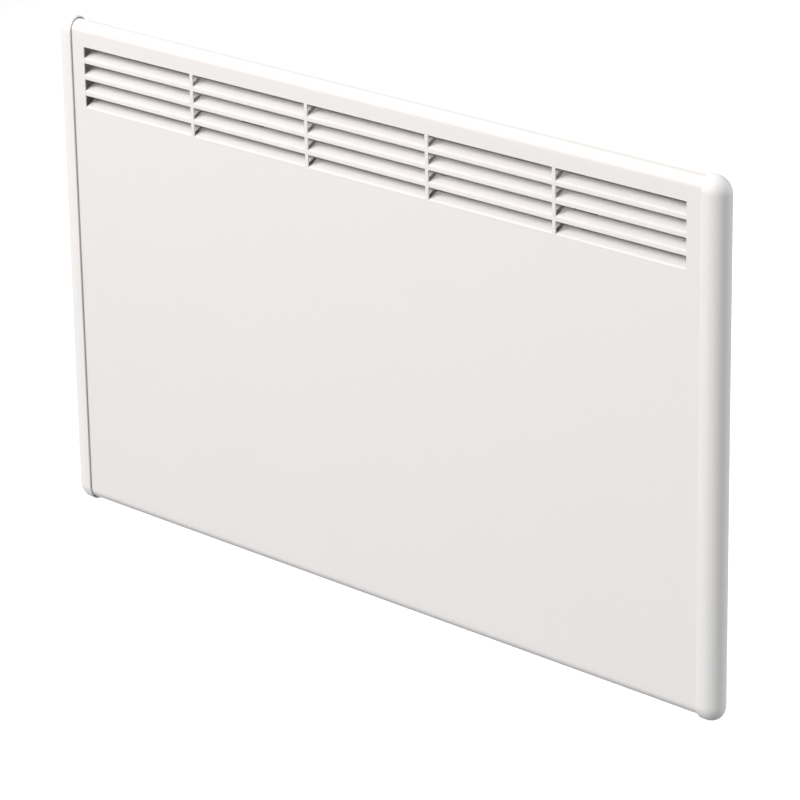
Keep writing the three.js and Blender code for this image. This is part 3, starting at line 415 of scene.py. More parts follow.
    def thickened(self, thickness: float, offset: float = 0.0) -> Blank:
        """Gives an open sheet its thickness.

        Args:
            thickness: Sheet thickness.
            offset: 0 to thicken to both sides, -1 to thicken inwards from the drawn surface.

        Returns:
            This blank.
        """
        sheet = self._as_object("sheet")
        modifier = sheet.modifiers.new("thickness", "SOLIDIFY")
        modifier.thickness = thickness
        modifier.offset = offset
        modifier.use_even_offset = True
        return self._take_result(sheet)

    def piece(
        self,
        name: str,
        finish: Finish,
        body: str = HEATER_BODY,
        replaces: Sequence[str] = (),
        origin: Vector = HEATER,
        rounding: float = 0.0,
        rounding_angle: float = 40.0,
    ) -> bpy.types.Object:
        """Turns the blank into a finished piece of the scene.

        Args:
            name: The piece's name.
            finish: Its finish.
            body: The body of the frame that it moves with.
            replaces: Nodes of the frame that it stands for.
            origin: Where the blank's frame lies, seen from the upper rail.
            rounding: Radius of its rounded edges, or 0 for edges left as they are.
            rounding_angle: Edges sharper than this many degrees are rounded.

        Returns:
            The object.
        """
        self.moved(*origin)
        bmesh.ops.scale(self.mesh, verts=self.mesh.verts, vec=(MM, MM, MM))
        data = bpy.data.meshes.new(name)
        self.mesh.to_mesh(data)
        self.mesh.free()
        made = put_in_scene(name, data)
        data.materials.append(finish.material())
        smooth_faces(made, rounding, rounding_angle)
        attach(made, body)
        if replaces:
            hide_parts(*replaces)
        log.info("%s: %d faces", name, len(data.polygons))
        return made


def smooth_faces(made: bpy.types.Object, rounding: float, rounding_angle: float) -> None:
    """Shades an object smooth, with rounded or crisp edges.

    Args:
        made: The object.
        rounding: Radius of its rounded edges in millimetres, or 0 for crisp ones.
        rounding_angle: Edges sharper than this many degrees are rounded or crisp.
    """
    made.data.polygons.foreach_set("use_smooth", [True] * len(made.data.polygons))
    if rounding:
        bevel = made.modifiers.new("edge_rounding", "BEVEL")
        bevel.width = rounding * MM
        bevel.segments = 2
        bevel.limit_method = "ANGLE"
        bevel.angle_limit = math.radians(rounding_angle)
        bevel.use_clamp_overlap = True
    else:
        made.data.set_sharp_from_angle(angle=math.radians(rounding_angle))
    weighted = made.modifiers.new("face_normals", "WEIGHTED_NORMAL")
    weighted.keep_sharp = True


# ----------------------------------------------------------------------------------- finishes


class NodeGraph:
    """A node tree that is built up node by node."""

    def __init__(self, tree: bpy.types.NodeTree) -> None:
        """Works on a tree that already holds its shader."""
        self.tree = tree

    def feed(self, node: bpy.types.Node, feeds: dict[str | int, object]) -> None:
        """Sets a node's inputs.

        Args:
            node: The node.
            feeds: What each of its inputs gets: a constant, or another node's socket.
        """
        for key, value in feeds.items():
            if isinstance(value, Socket):
                self.tree.links.new(value, node.inputs[key])
            else:
                node.inputs[key].default_value = value

    def node(self, kind: str, feeds: dict[str | int, object], **settings: object) -> bpy.types.Node:
        """Adds a node.

        Args:
            kind: Its type, without the word that all types start with.
            feeds: What each of its inputs gets: a constant, or another node's socket.
            **settings: Its properties.

        Returns:
            The node.
        """
        made = self.tree.nodes.new(f"ShaderNode{kind}")
        for key, value in settings.items():
            setattr(made, key, value)
        self.feed(made, feeds)
        return made

    def arithmetic(self, operation: str, *terms: Socket | float) -> Socket:
        """The outcome of one Math node, on sockets or numbers."""
        return self.node("Math", dict(enumerate(terms)), operation=operation).outputs["Value"]


class NodeBench(NodeGraph):
    """Builds one material's nodes round its Principled shader."""

    noise_range: Point2 = (0.3, 0.7)  # where most of a noise field's values lie

    def __init__(self, name: str) -> None:
        """Starts a material.

        Args:
            name: The material's name.
        """
        self.material = bpy.data.materials.new(name)
        self.material.use_nodes = True
        super().__init__(self.material.node_tree)
        self.shader = self.tree.nodes["Principled BSDF"]
        self.place = self.node("TexCoord", {}).outputs["Object"]

    def noise(self, pitch: float, detail: float, stretch: Point3 = (1, 1, 1)) -> Socket:
        """A soft random field.

        Args:
            pitch: Size of its features in millimetres.
            detail: Octaves of finer features.
            stretch: Scale along each axis, for a grain.

        Returns:
            Its value, about 0 to 1.
        """
        mapped = self.node("Mapping", {"Vector": self.place, "Scale": stretch}).outputs["Vector"]
        feeds = {"Vector": mapped, "Scale": 1 / (pitch * MM), "Detail": detail}
        return self.node("TexNoise", feeds).outputs["Fac"]

    def cells(self, pitch: float) -> Socket:
        """A field of flat irregular cells with one random value each."""
        made = self.node("TexVoronoi", {"Vector": self.place, "Scale": 1 / (pitch * MM)})
        return self.node("SeparateColor", {"Color": made.outputs["Color"]}).outputs["Red"]

    def tinted(self, source: Socket, colour: Colour, spread: float) -> None:
        """Lets a field lighten and darken the base colour.

        Args:
            source: The field.
            colour: The colour in its middle.
            spread: Share by which the colour is lighter or darker at the field's ends.
        """
        darker = (*[c * (1 - spread) for c in colour], 1)
        lighter = (*[min(c * (1 + spread), 1) for c in colour], 1)
        mix = self.node("Mix", {"A": darker, "B": lighter, "Factor": source}, data_type="RGBA")
        self.feed(self.shader, {"Base Color": mix.outputs["Result"]})

    def roughened(self, source: Socket, middle: float, spread: float) -> None:
        """Lets a field vary the roughness.

        Args:
            source: The field.
            middle: The roughness in its middle.
            spread: How far the roughness goes up and down.
        """
        low, high = self.noise_range
        feeds = {"Value": source, "From Min": low, "From Max": high}
        feeds |= {"To Min": middle - spread, "To Max": middle + spread}
        self.feed(self.shader, {"Roughness": self.node("MapRange", feeds).outputs["Result"]})

    def embossed(self, source: Socket, depth: float) -> None:
        """Uses a field as fine relief of that depth in millimetres."""
        bump = self.node("Bump", {"Height": source, "Strength": 1.0, "Distance": depth * MM})
        self.feed(self.shader, {"Normal": bump.outputs["Normal"]})


mixed: dict[str, bpy.types.Material] = {}  # materials already made, by name


@dataclass(frozen=True)
class Finish:
    """A surface finish, for one of the record's material slots.

    The colour varies by spread over patches, the roughness by sway, and the grain has a relief.
    Patch, grain and relief are in millimetres.
    """

    name: str
    slot: str
    colour: Colour
    roughness: float
    spread: float = 0.012
    patch: float = 60.0
    grain: float = 0.9
    relief: float = 0.004
    metal: float = 0.0
    sway: float = 0.03

    def material(self) -> bpy.types.Material:
        """Makes the finish's material once, for all its pieces.

        Returns:
            The material.
        """
        if self.name in mixed:
            return mixed[self.name]
        bench = NodeBench(self.name)
        mixed[self.name] = bench.material
        bench.shader.inputs["Metallic"].default_value = self.metal
        bench.tinted(bench.noise(self.patch, 3), self.colour, self.spread)
        self.surface(bench)
        self.extras(bench)
        return bench.material

    def surface(self, bench: NodeBench) -> None:
        """Roughness and relief: a fine even grain."""
        bench.roughened(bench.noise(self.patch / 4, 2), self.roughness, self.sway)
        bench.embossed(bench.noise(self.grain, 2), self.relief)

    def extras(self, bench: NodeBench) -> None:
        """Constants that only some finishes set."""


@dataclass(frozen=True)
class PowderCoat(Finish):
    """Baked powder paint: a satin skin with a faint orange peel at two sizes."""

    sway: float = 0.025
    fine_size: float = 0.3
    fine_share: float = 0.35
    mirror: float = 0.36

    def surface(self, bench: NodeBench) -> None:
        """Orange peel, and slightly uneven gloss.

        Args:
            bench: The material being made.
        """
        fine, coarse = bench.noise(self.grain * self.fine_size, 1), bench.noise(self.grain, 1)
        peel = bench.arithmetic("MULTIPLY_ADD", fine, self.fine_share, coarse)
        bench.roughened(bench.noise(self.patch / 3, 2), self.roughness, self.sway)
        bench.embossed(peel, self.relief)

    def extras(self, bench: NodeBench) -> None:
        """Satin paint mirrors a little less than bare plastic."""
        bench.shader.inputs["Specular IOR Level"].default_value = self.mirror


@dataclass(frozen=True)
class Spangled(Finish):
    """Galvanised steel: crystals of zinc that catch the light differently, and rolling marks."""

    sway: float = 0.05
    rolling_pitch: float = 0.5
    rolling_stretch: float = 0.08

    def surface(self, bench: NodeBench) -> None:
        """Brightness and roughness by crystal, and rolling marks.

        Args:
            bench: The material being made.
        """
        crystals = bench.cells(self.grain)
        bench.tinted(crystals, self.colour, self.spread)
        bench.roughened(crystals, self.roughness, self.sway)
        rolling = bench.noise(self.rolling_pitch, 3, (self.rolling_stretch, 1, 1))
        bench.embossed(rolling, self.relief)


@dataclass(frozen=True)
class DrawnMetal(Finish):
    """Extruded or drawn metal with fine lines along X."""

    metal: float = 1.0
    sway: float = 0.07
    line_stretch: float = 0.02

    def surface(self, bench: NodeBench) -> None:
        """Lines along the direction of drawing.

        Args:
            bench: The material being made.
        """
        lines = bench.noise(self.grain, 3, (self.line_stretch, 1, 1))
        bench.roughened(lines, self.roughness, self.sway)
        bench.embossed(lines, self.relief)


@dataclass(frozen=True)
class ClearPart(Finish):
    """Polished clear plastic, with a faint glow where a lamp is behind it."""

    clearness: float = 0.9
    refraction: float = 1.49
    glow: float = 0.0

    def extras(self, bench: NodeBench) -> None:
        """Lets light through.

        Args:
            bench: The material being made.
        """
        bench.shader.inputs["Transmission Weight"].default_value = self.clearness
        bench.shader.inputs["IOR"].default_value = self.refraction
        if self.glow:
            bench.shader.inputs["Emission Color"].default_value = (*self.colour, 1)
            bench.shader.inputs["Emission Strength"].default_value = self.glow


class Finishes:
    """The heater's finishes, by what they are on."""

    PANEL = PowderCoat(
        "satin_powder_coat", "panel_coat", (0.843, 0.84, 0.835), 0.46,
        spread=0.006, grain=1.4, relief=0.006,
    )
    CASING = PowderCoat(
        "casing_powder_coat", "casing_coat", (0.845, 0.838, 0.83), 0.46,
        spread=0.008, grain=1.2, relief=0.008,
    )
    CAP = Finish(
        "moulded_cap_plastic", "cap_plastic", (0.88, 0.88, 0.875), 0.38,
        spread=0.005, grain=0.5, relief=0.002,
    )
    MODULE = Finish(
        "grained_housing_plastic", "module_plastic", (0.74, 0.735, 0.72), 0.5,
        grain=0.35, relief=0.008,
    )
    BLACK = Finish(
        "grained_black_plastic", "black_plastic", (0.012, 0.0125, 0.013), 0.42,
        spread=0.08, grain=0.3, relief=0.006,
    )
    ZINC = Spangled(
        "spangled_zinc", "galvanised", (0.52, 0.535, 0.545), 0.4,
        spread=0.07, patch=5, grain=3, metal=0.95,
    )
    ALUMINIUM = DrawnMetal(
        "sawn_aluminium", "element_aluminium", (0.6, 0.61, 0.62), 0.36, spread=0.03, grain=0.4
    )
    STEEL = DrawnMetal(
        "bright_plated_steel", "plated_steel", (0.5, 0.51, 0.52), 0.27,
        spread=0.04, patch=4, grain=0.25,
    )
    CERAMIC = Finish(
        "unglazed_ceramic", "ceramic", (0.78, 0.72, 0.6), 0.62,
        spread=0.03, patch=6, grain=0.25, relief=0.01,
    )
    BOARD = Finish(
        "board_lacquer", "board", (0.015, 0.11, 0.05), 0.4, spread=0.1, patch=5, grain=0.2
    )
    RELAY = Finish(
        "relay_case_blue", "relay_blue", (0.03, 0.08, 0.25), 0.35,
        spread=0.05, grain=0.3, relief=0.003,
    )
    WINDOW = ClearPart(
        "polished_window", "window_clear", (0.86, 0.9, 0.92), 0.06, spread=0.01, relief=0.0005
    )
    LENS = ClearPart(
        "amber_lens", "lens_amber", (0.9, 0.2, 0.03), 0.08, spread=0.02, relief=0.0005, glow=0.6
    )
    BROWN_LEAD = Finish(
        "brown_insulation", "lead_brown", (0.13, 0.05, 0.022), 0.45, spread=0.06, patch=8, grain=0.4
    )
    BLUE_LEAD = Finish(
        "blue_insulation", "lead_blue", (0.02, 0.1, 0.36), 0.45, spread=0.06, patch=8, grain=0.4
    )
    BLACK_LEAD = Finish(
        "black_insulation", "lead_black", (0.016, 0.016, 0.016), 0.5,
        spread=0.08, patch=8, grain=0.4,
    )
    MARK = Finish(
        "printed_mark", "module_plastic", (0.8, 0.8, 0.79), 0.5,
        spread=0.02, patch=2, grain=0.2, relief=0.001,
    )
    FLOOR = Finish(
        "studio_floor", "", (0.6, 0.6, 0.6), 0.85, spread=0.002, patch=900, grain=4, relief=0.001
    )


def dress(node: str, finish: Finish, rounding: float) -> None:
    """Gives a node of the frame its finish and rounded edges, and keeps its shape.

    Args:
        node: The node's name.
        finish: Its finish.
        rounding: Radius of its rounded edges in millimetres, or 0 for crisp ones.
    """
    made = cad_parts[node]
    made.data.materials.clear()
    made.data.materials.append(finish.material())
    weld = made.modifiers.new("corner_weld", "WELD")
    weld.merge_threshold = NODE_HAIR * MM
    smooth_faces(made, rounding, SOFT_ANGLE)


# -------------------------------------------------------------------------------- front panel


@dataclass
class FrontPanel:
    """One folded sheet: half-round top and bottom folds, rear lips and lanced louvres."""

    height: float = 399.0
    half_width: float = 324.5
    sheet: float = 1.0
    fold_radius: float = 8.0
    fold_steps: int = 26
    lip: float = 11.0
    groups: int = 5
    rows: int = 4
    group_pitch: float = 122.67
    slot_width: float = 119.33
    row_pitch: float = 13.0
    slot_height: float = 10.0
    first_drop: float = 19.0
    flap_length: float = 9.7
    flap_rise: float = 25.0
    flap_bend: float = 0.8
    lance_gap: float = 0.25
    edge: float = 0.22

    def sheet_line(self) -> list[Point2]:
        """The sheet's middle line from the side, from the top lip to the bottom one.

        Returns:
            (depth, height) pairs.
        """
        radius = self.fold_radius - self.sheet / 2
        back = self.fold_radius + radius
        top, bottom = -self.fold_radius, -self.height + self.fold_radius
        return [
            (back, top - self.lip),
            *arc((self.fold_radius, top), radius, 0, 180, self.fold_steps),
            *((self.sheet / 2, edge) for edges in self.row_edges() for edge in edges),
            *arc((self.fold_radius, bottom), radius, 180, 360, self.fold_steps),
            (back, bottom + self.lip),
        ]

    def row_edges(self) -> list[Point2]:
        """Heights of each row's upper and lower edge, from the top down."""
        tops = [-self.first_drop - row * self.row_pitch for row in range(self.rows)]
        return [(top, top - self.slot_height) for top in tops]

    def columns(self) -> list[tuple[float, bool, bool]]:
        """Places across the sheet, from the left.

        Returns:
            For each, its x, whether slots begin or go on there, and whether flaps are rooted there.
        """
        first = -((self.groups - 1) * self.group_pitch + self.slot_width) / 2
        places = [(-self.half_width, False, False)]
        for group in range(self.groups):
            left = first + group * self.group_pitch
            right = left + self.slot_width
            places += [
                (left, True, False),
                (left + self.lance_gap, True, True),
                (right - self.lance_gap, True, False),
                (right, False, False),
            ]
        return [*places, (self.half_width, False, False)]

    def flap_line(self, root: float) -> list[Point2]:
        """A flap's middle line from the side.

        Args:
            root: Height of the slot's lower edge, where the flap is rooted.

        Returns:
            (depth, height) pairs, from the root on.
        """
        centre = (self.sheet / 2 + self.flap_bend, root)
        line = arc(centre, self.flap_bend, 180, 90 + self.flap_rise)
        rise = math.radians(self.flap_rise)
        depth, height = line[-1]
        for reach in (self.flap_length / 2, self.flap_length):
            line.append((depth + reach * math.cos(rise), height + reach * math.sin(rise)))
        return line

    def build(self) -> None:
        """Builds the panel from its middle surface, as a press would leave it."""
        blank = Blank()
        line, columns, bottoms = self.sheet_line(), self.columns(), dict(self.row_edges())
        grid = [[blank.mesh.verts.new((x, d, h)) for d, h in line] for x, _, _ in columns]
        for c, (_, slotted, rooted) in enumerate(columns[:-1]):
            left, right = grid[c], grid[c + 1]
            for r, (depth, height) in enumerate(line[:-1]):
                if not (slotted and depth < self.fold_radius and height in bottoms):
                    blank.mesh.faces.new((left[r], left[r + 1], right[r + 1], right[r]))
                elif rooted:
                    self._hang_flap(blank, (left[r + 1], right[r + 1]), bottoms[height])
        bmesh.ops.recalc_face_normals(blank.mesh, faces=blank.mesh.faces)
        blank.thickened(self.sheet)
        blank.piece("front_sheet", Finishes.PANEL, replaces=["front_panel"], rounding=self.edge)

    def _hang_flap(self, blank: Blank, near: Sequence[bmesh.types.BMVert], root: float) -> None:
        """Adds one flap.

        Args:
            blank: The sheet.
            near: The two ends of the flap's root on the sheet.
            root: Height of that root.
        """
        for depth, height in self.flap_line(root)[1:]:
            far = [blank.mesh.verts.new((v.co.x, depth, height)) for v in near]
            blank.mesh.faces.new((near[0], far[0], far[1], near[1]))
            near = far


# ----------------------------------------------------------------------------------- end caps


@dataclass
class EndCap:
    """A hollow moulding with a rounded outer side, whose sleeve slides over the panel's end."""

    side: Side
    start: float = 318.5
    reach: float = 337.0
    crown: float = 13.6
    crown_steps: int = 20
    half_depth: float = 9.5
    corner: float = 13.0
    top: float = 2.4
    bottom: float = -401.4
    middle: float = 8.0
    wall: float = 2.2
    rim: float = 0.8
    tuck: float = 6.0
    panel_height: float = 399.0
    lead_in: tuple[Point2, ...] = ((2.4, FIT), (1.0, 0.75), (0.0, 0.95))  # (depth, room)
    steps: int = 18

    def _slice(self, x: float, upper: Point2, lower: Point2, radii: Point2) -> list[Vector]:
        """A slice across the cap: a slot with elliptical ends.

        Args:
            x: Distance from the middle of the heater.
            upper: Centre of its upper end.
            lower: Centre of its lower end.
            radii: The ends' half depth and height.

        Returns:
            The slice's points.
        """
        ends = elliptic_arc(upper, radii, 0, 180, self.steps)
        ends += elliptic_arc(lower, radii, 180, 360, self.steps)
        return [Vector((x, y, z)) for y, z in ends]

    def ring(self, x: float, inset: float, share: float = 1.0) -> list[Vector]:
        """A slice of the cap's outside or inside.

        Args:
            x: Distance from the middle of the heater.
            inset: How far the slice is drawn in all round.
            share: Share of its depth and corner that is left, as the crown narrows.

        Returns:
            The slice's points.
        """
        radii = ((self.half_depth - inset) * share, (self.corner - inset) * share)
        upper = (self.middle, self.top - self.corner)
        return self._slice(x, upper, (self.middle, self.bottom + self.corner), radii)

    def sleeve_ring(self, x: float, room: float = FIT) -> list[Vector]:
        """A slice of the socket that takes the end of the folded panel.

        Args:
            x: Distance from the middle of the heater.
            room: Room round the panel.

        Returns:
            The slice's points.
        """
        radius = self.middle + room
        lower = (self.middle, self.middle - self.panel_height)
        return self._slice(x, (self.middle, -self.middle), lower, (radius, radius))

    def crown_rings(self, inset: float) -> list[list[Vector]]:
        """Slices through the rounded outer side, out to its ridge.

        Args:
            inset: How far they are drawn in, for the inside.

        Returns:
            The slices.
        """
        base, height = self.reach - self.crown, self.crown - inset
        return [
            self.ring(base + height * math.sin(t), inset, max(math.cos(t), HAIR))
            for t in quarter_turn(self.crown_steps)
        ]

    def build(self) -> None:
        """Builds the cap as one skin: hollow, socket, rim and outer side."""
        socket_end = self.start + self.tuck + FIT
        rings = [
            *reversed(self.crown_rings(self.wall)),
            self.ring(socket_end, self.wall),
            self.sleeve_ring(socket_end),
            *(self.sleeve_ring(self.start + depth, room) for depth, room in self.lead_in),
        ]
        for t in quarter_turn(5):
            x = self.start + self.rim * (1 - math.cos(t))
            rings.append(self.ring(x, self.rim * (1 - math.sin(t))))
        blank = Blank().skin([*rings, *self.crown_rings(0)]).mirrored(self.side)
        name, node = f"{self.side.word}_cap_moulding", f"{self.side.word}_end_cap"
        blank.piece(name, Finishes.CAP, replaces=[node], rounding_angle=SOFT_ANGLE)


# -------------------------------------------------------------------------------- rear casing


@dataclass
class Screw:
    """A pan-head screw with a cross recess, its head behind y = 0 and its shank before it."""

    turn: float = 0.0
    head: float = 3.6
    height: float = 2.2
    rim_share: float = 0.25
    shank: float = 1.5
    root_share: float = 0.8
    tip_share: float = 0.6
    length: float = 7.0
    pitch: float = 0.6
    neck: float = 0.4
    tip: float = 1.0
    recess: Point2 = (1.9, 0.45)

    def blank(self) -> Blank:
        """Turns the screw and stamps its recess.

        Returns:
            The screw.
        """
        rim = self.height * self.rim_share
        crown = elliptic_arc((0, rim), (self.head, self.height - rim), 8, 88, 7)
        profile = [(0, self.height), *reversed(crown), (self.head, 0)]
        for z in stepped(-self.neck, self.tip + self.neck - self.length, -self.pitch):
            profile += [(self.shank, z), (self.shank * self.root_share, z - self.pitch / 2)]
        profile += [(self.shank * self.tip_share, self.tip - self.length), (0, -self.length)]
        blank = Blank().turned(Axis.Y, profile, 28)
        reach, half = self.recess
        for across in (0, 90):
            arm = Blank().block((-reach, self.height * 0.45, -half), (reach, self.height + 1, half))
            blank.cut(arm.rolled(Axis.Y, across))
        return blank.rolled(Axis.Y, self.turn)


@dataclass
class RearCasing:
    """A drafted pressed pan with a flat rim, air inlets and slots for the bracket."""

    sheet: float = 1.0
    front: float = 16.3
    back: float = 52.0
    rim_half: float = 318.0
    rim_top: float = -9.5
    rim_bottom: float = -391.0
    rim_corner: float = 6.0
    mouth: tuple[float, float, float, float] = (308.0, -19.0, -381.0, 10.0)
    rear: tuple[float, float, float, float] = (292.0, -39.0, -381.0, 16.0)
    mouth_depth: float = 16.0
    rear_bend: float = 4.0
    rim_bend: float = 1.6
    corner_steps: int = 8
    inlet_count: int = 24
    inlet_pitch: float = 14.0
    inlet_first: float = -282.0
    inlet_size: Point2 = (6.0, 22.0)
    cutout_low: Point2 = (111.6, 19.6)
    cutout_high: Point2 = (284.4, 48.4)
    cutout_corner: float = 3.0
    round_holes: tuple[Point2, ...] = ((88.0, 6.3), (68.0, 2.9))  # (x, radius): gland and sensor
    bracket_x: float = 170.0
    hook_slot: tuple[float, float, float] = (-342.0, -325.0, 44.0)  # low, high, width
    latch_slot: tuple[float, float, float] = (-78.0, -61.0, 22.0)
    slot_corner: float = 1.5
    module_screws: tuple[Point2, ...] = ((124.0, -355.0), (272.0, -355.0))
    screw_hole: float = 1.9
    head_turn: float = 37.0  # degrees from one screw's recess to the next one's
    swage_drops: tuple[float, ...] = (-130.0, -230.0)
    swage_half: Point2 = (120.0, 6.0)
    swage_rise: float = 2.4
    swage_hollow: float = 1.4
    screw_columns: tuple[float, ...] = (-300.0, -100.0, 100.0, 300.0)
    screw_rows: tuple[float, ...] = (-14.25, -386.0)

    @property
    def inlet_depth(self) -> float:
        """Depth of the middle of the casing's underside."""
        return (self.mouth_depth + self.back) / 2 + self.sheet

    def ring(self, depth: float, out: float) -> list[Vector]:
        """A slice of the pan's outside.

        Args:
            depth: The slice's depth.
            out: How far it is drawn out all round.

        Returns:
            The slice's points.
        """
        share = (depth - self.mouth_depth) / (self.back - self.mouth_depth)
        half, top, bottom, corner = (a + (b - a) * share for a, b in zip(self.mouth, self.rear))
        low, high = (-half - out, bottom - out), (half + out, top + out)
        outline = rectangle(low, high, max(corner + out, 1), self.corner_steps)
        return [Vector((x, depth, z)) for x, z in outline]

    def pan(self) -> Blank:
        """The pressed pan, thickened inwards from its outer surface.

        Returns:
            The pan, without its openings.
        """
        seat = self.front + self.sheet
        low, high = (-self.rim_half, self.rim_bottom), (self.rim_half, self.rim_top)
        edge = rectangle(low, high, self.rim_corner, self.corner_steps)
        rings = [[Vector((x, seat, z)) for x, z in edge]]
        for t in quarter_turn(5):
            depth = seat + self.rim_bend * (1 - math.cos(t))
            rings.append(self.ring(depth, self.rim_bend * (1 - math.sin(t))))
        for t in quarter_turn(6):
            depth = self.back - self.rear_bend * (1 - math.sin(t))
            rings.append(self.ring(depth, -self.rear_bend * (1 - math.cos(t))))
        faces = Blank().skin(rings)
        mouth = max(faces.mesh.faces, key=lambda f: (len(f.verts) > 4, -f.calc_center_median().y))
        faces.mesh.faces.remove(mouth)
        return faces.thickened(self.sheet, -1)

    def swage(self, drop: float, out: float, low: float, high: float) -> Blank:
        """A long pill with sloped flanks, for one stiffening swage.

        Args:
            drop: Height of its middle.
            out: How far it is drawn out all round.
            low: Depth of its foot.
            high: Depth of its top.

        Returns:
            The pill.
        """
        flank = ((low, 2.6), (self.back, 2.0), (high - 0.7, 0.2), (high, -0.9))  # (depth, spread)
        rings = []
        for depth, spread in flank:
            half_width, half_height = (half + out + spread for half in self.swage_half)
            outline = slot((0, drop), 2 * half_width, 2 * half_height, 10)
            rings.append([Vector((x, depth, z)) for x, z in outline])
        return Blank().skin(rings)

    def build(self) -> None:
        """Presses the pan, cuts its openings and screws it on."""
        blank = self.pan()
        for drop in self.swage_drops:
            blank.joined(self.swage(drop, 0, self.back - 0.5, self.back + self.swage_rise))
            blank.cut(self.swage(drop, -1, self.back - 2, self.back + self.swage_hollow))
        blank.cut(self.underside_openings(), self.back_openings(), self.screw_holes())
        blank.piece(
            "pressed_casing", Finishes.CASING, replaces=["rear_casing"], rounding_angle=SOFT_ANGLE
        )
        for number, (x, z) in enumerate(self.screw_places(), start=1):
            head = Screw(turn=self.head_turn * number).blank()
            head.moved(x, self.front + self.sheet + FIT, z)
            head.piece(f"rim_screw_{number}", Finishes.STEEL, replaces=[f"casing_screw_{number}"])

    def underside_openings(self) -> Blank:
        """Inlets, the module's cut-out and the holes for the gland and the sensor.

        Returns:
            A cutting tool.
        """
        low, high = self.mouth[2] - OVERRUN, self.mouth[2] + self.sheet + OVERRUN
        tool = Blank()
        for i in range(self.inlet_count):
            centre = (self.inlet_first + i * self.inlet_pitch, self.inlet_depth)
            tool.prism(Axis.Z, slot(centre, *self.inlet_size, 8), low, high)
        cutout = rectangle(self.cutout_low, self.cutout_high, self.cutout_corner)
        tool.prism(Axis.Z, cutout, low, high)
        for x, radius in self.round_holes:
            tool.prism(Axis.Z, circle((x, self.inlet_depth), radius, 32), low, high)
        return tool

    def back_openings(self) -> Blank:
        """Slots for the bracket's hooks and latches, and the module's screw holes.

        Returns:
            A cutting tool.
        """
        near, far = self.back - OVERRUN, self.back + OVERRUN
        tool = Blank()
        for x in (-self.bracket_x, self.bracket_x):
            for low, high, width in (self.hook_slot, self.latch_slot):
                corners = (x - width / 2, low), (x + width / 2, high)
                tool.prism(Axis.Y, rectangle(*corners, self.slot_corner), near, far)
        for centre in self.module_screws:
            tool.prism(Axis.Y, circle(centre, self.screw_hole, 24), near, far)
        return tool

    def screw_holes(self) -> Blank:
        """Holes in the rim for the casing's screws.

        Returns:
            A cutting tool.
        """
        near, far = self.front - self.sheet, self.front + OVERRUN
        tool = Blank()
        for centre in self.screw_places():
            tool.prism(Axis.Y, circle(centre, self.screw_hole, 24), near, far)
        return tool

    def screw_places(self) -> list[Point2]:
        """Places of the casing's screws, in the order of their numbers."""
        return [(x, z) for z in self.screw_rows for x in self.screw_columns]


# ---------------------------------------------------------------------------- heating element


@dataclass
class HeatingElement:
    """An extruded core with four wings, sawn across into short fins, between its hangers."""

    half: float = 248.0
    depth: float = 27.0
    drop: float = -282.0
    core: float = 6.8
    core_chamfer: float = 0.6
    core_overhang: float = 12.0
    root: float = 5.0
    wing: float = 20.0
    sheet: float = 2.0
    pitch: float = 11.0
    slit: float = 1.8
    margin: float = 14.0
    edge: float = 0.3

    def build(self) -> None:
        """Builds the element and dresses what holds it."""
        end, chamfer = self.half + self.core_overhang, self.core_chamfer
        tip = [(0, -end), (self.core - chamfer, -end), (self.core, chamfer - end)]
        core = Blank().turned(Axis.X, [*tip, *((radius, -x) for radius, x in reversed(tip))])
        fins = Blank()
        for i in range(int(2 * (self.half - self.margin) / self.pitch)):
            low = self.margin - self.half + i * self.pitch
            high = low + self.pitch - self.slit
            corners = (low, self.root, -self.sheet / 2), (high, self.wing, self.sheet / 2)
            for quarter in range(4):
                fins.with_skins_of([Blank().block(*corners).rolled(Axis.X, 45 + 90 * quarter)])
        core.joined(fins).moved(0, self.depth, self.drop)
        core.piece(
            "finned_element", Finishes.ALUMINIUM, replaces=["heating_element"], rounding=self.edge
        )
        for side in Side:
            dress(f"{side.word}_element_hanger", Finishes.ZINC, 0.3)
            dress(f"{side.word}_element_bush", Finishes.CERAMIC, 0.3)
            dress(f"{side.word}_element_terminal", Finishes.STEEL, 0.0)
        dress("cutout_clip", Finishes.ZINC, 0.25)
        dress("overheat_cutout", Finishes.BLACK, 0.25)


# -------------------------------------------------------------------------- thermostat module


@dataclass(frozen=True)
class Port:
    """A rounded rectangle on the module's underside, by half its sizes and its corner radius."""

    half_width: float
    half_depth: float
    corner: float

    def outline(self, centre: Point2) -> list[Point2]:
        """Its outline round a centre.

        Args:
            centre: The centre.

        Returns:
            The outline.
        """
        low = (centre[0] - self.half_width, centre[1] - self.half_depth)
        high = (centre[0] + self.half_width, centre[1] + self.half_depth)
        return rectangle(low, high, self.corner)


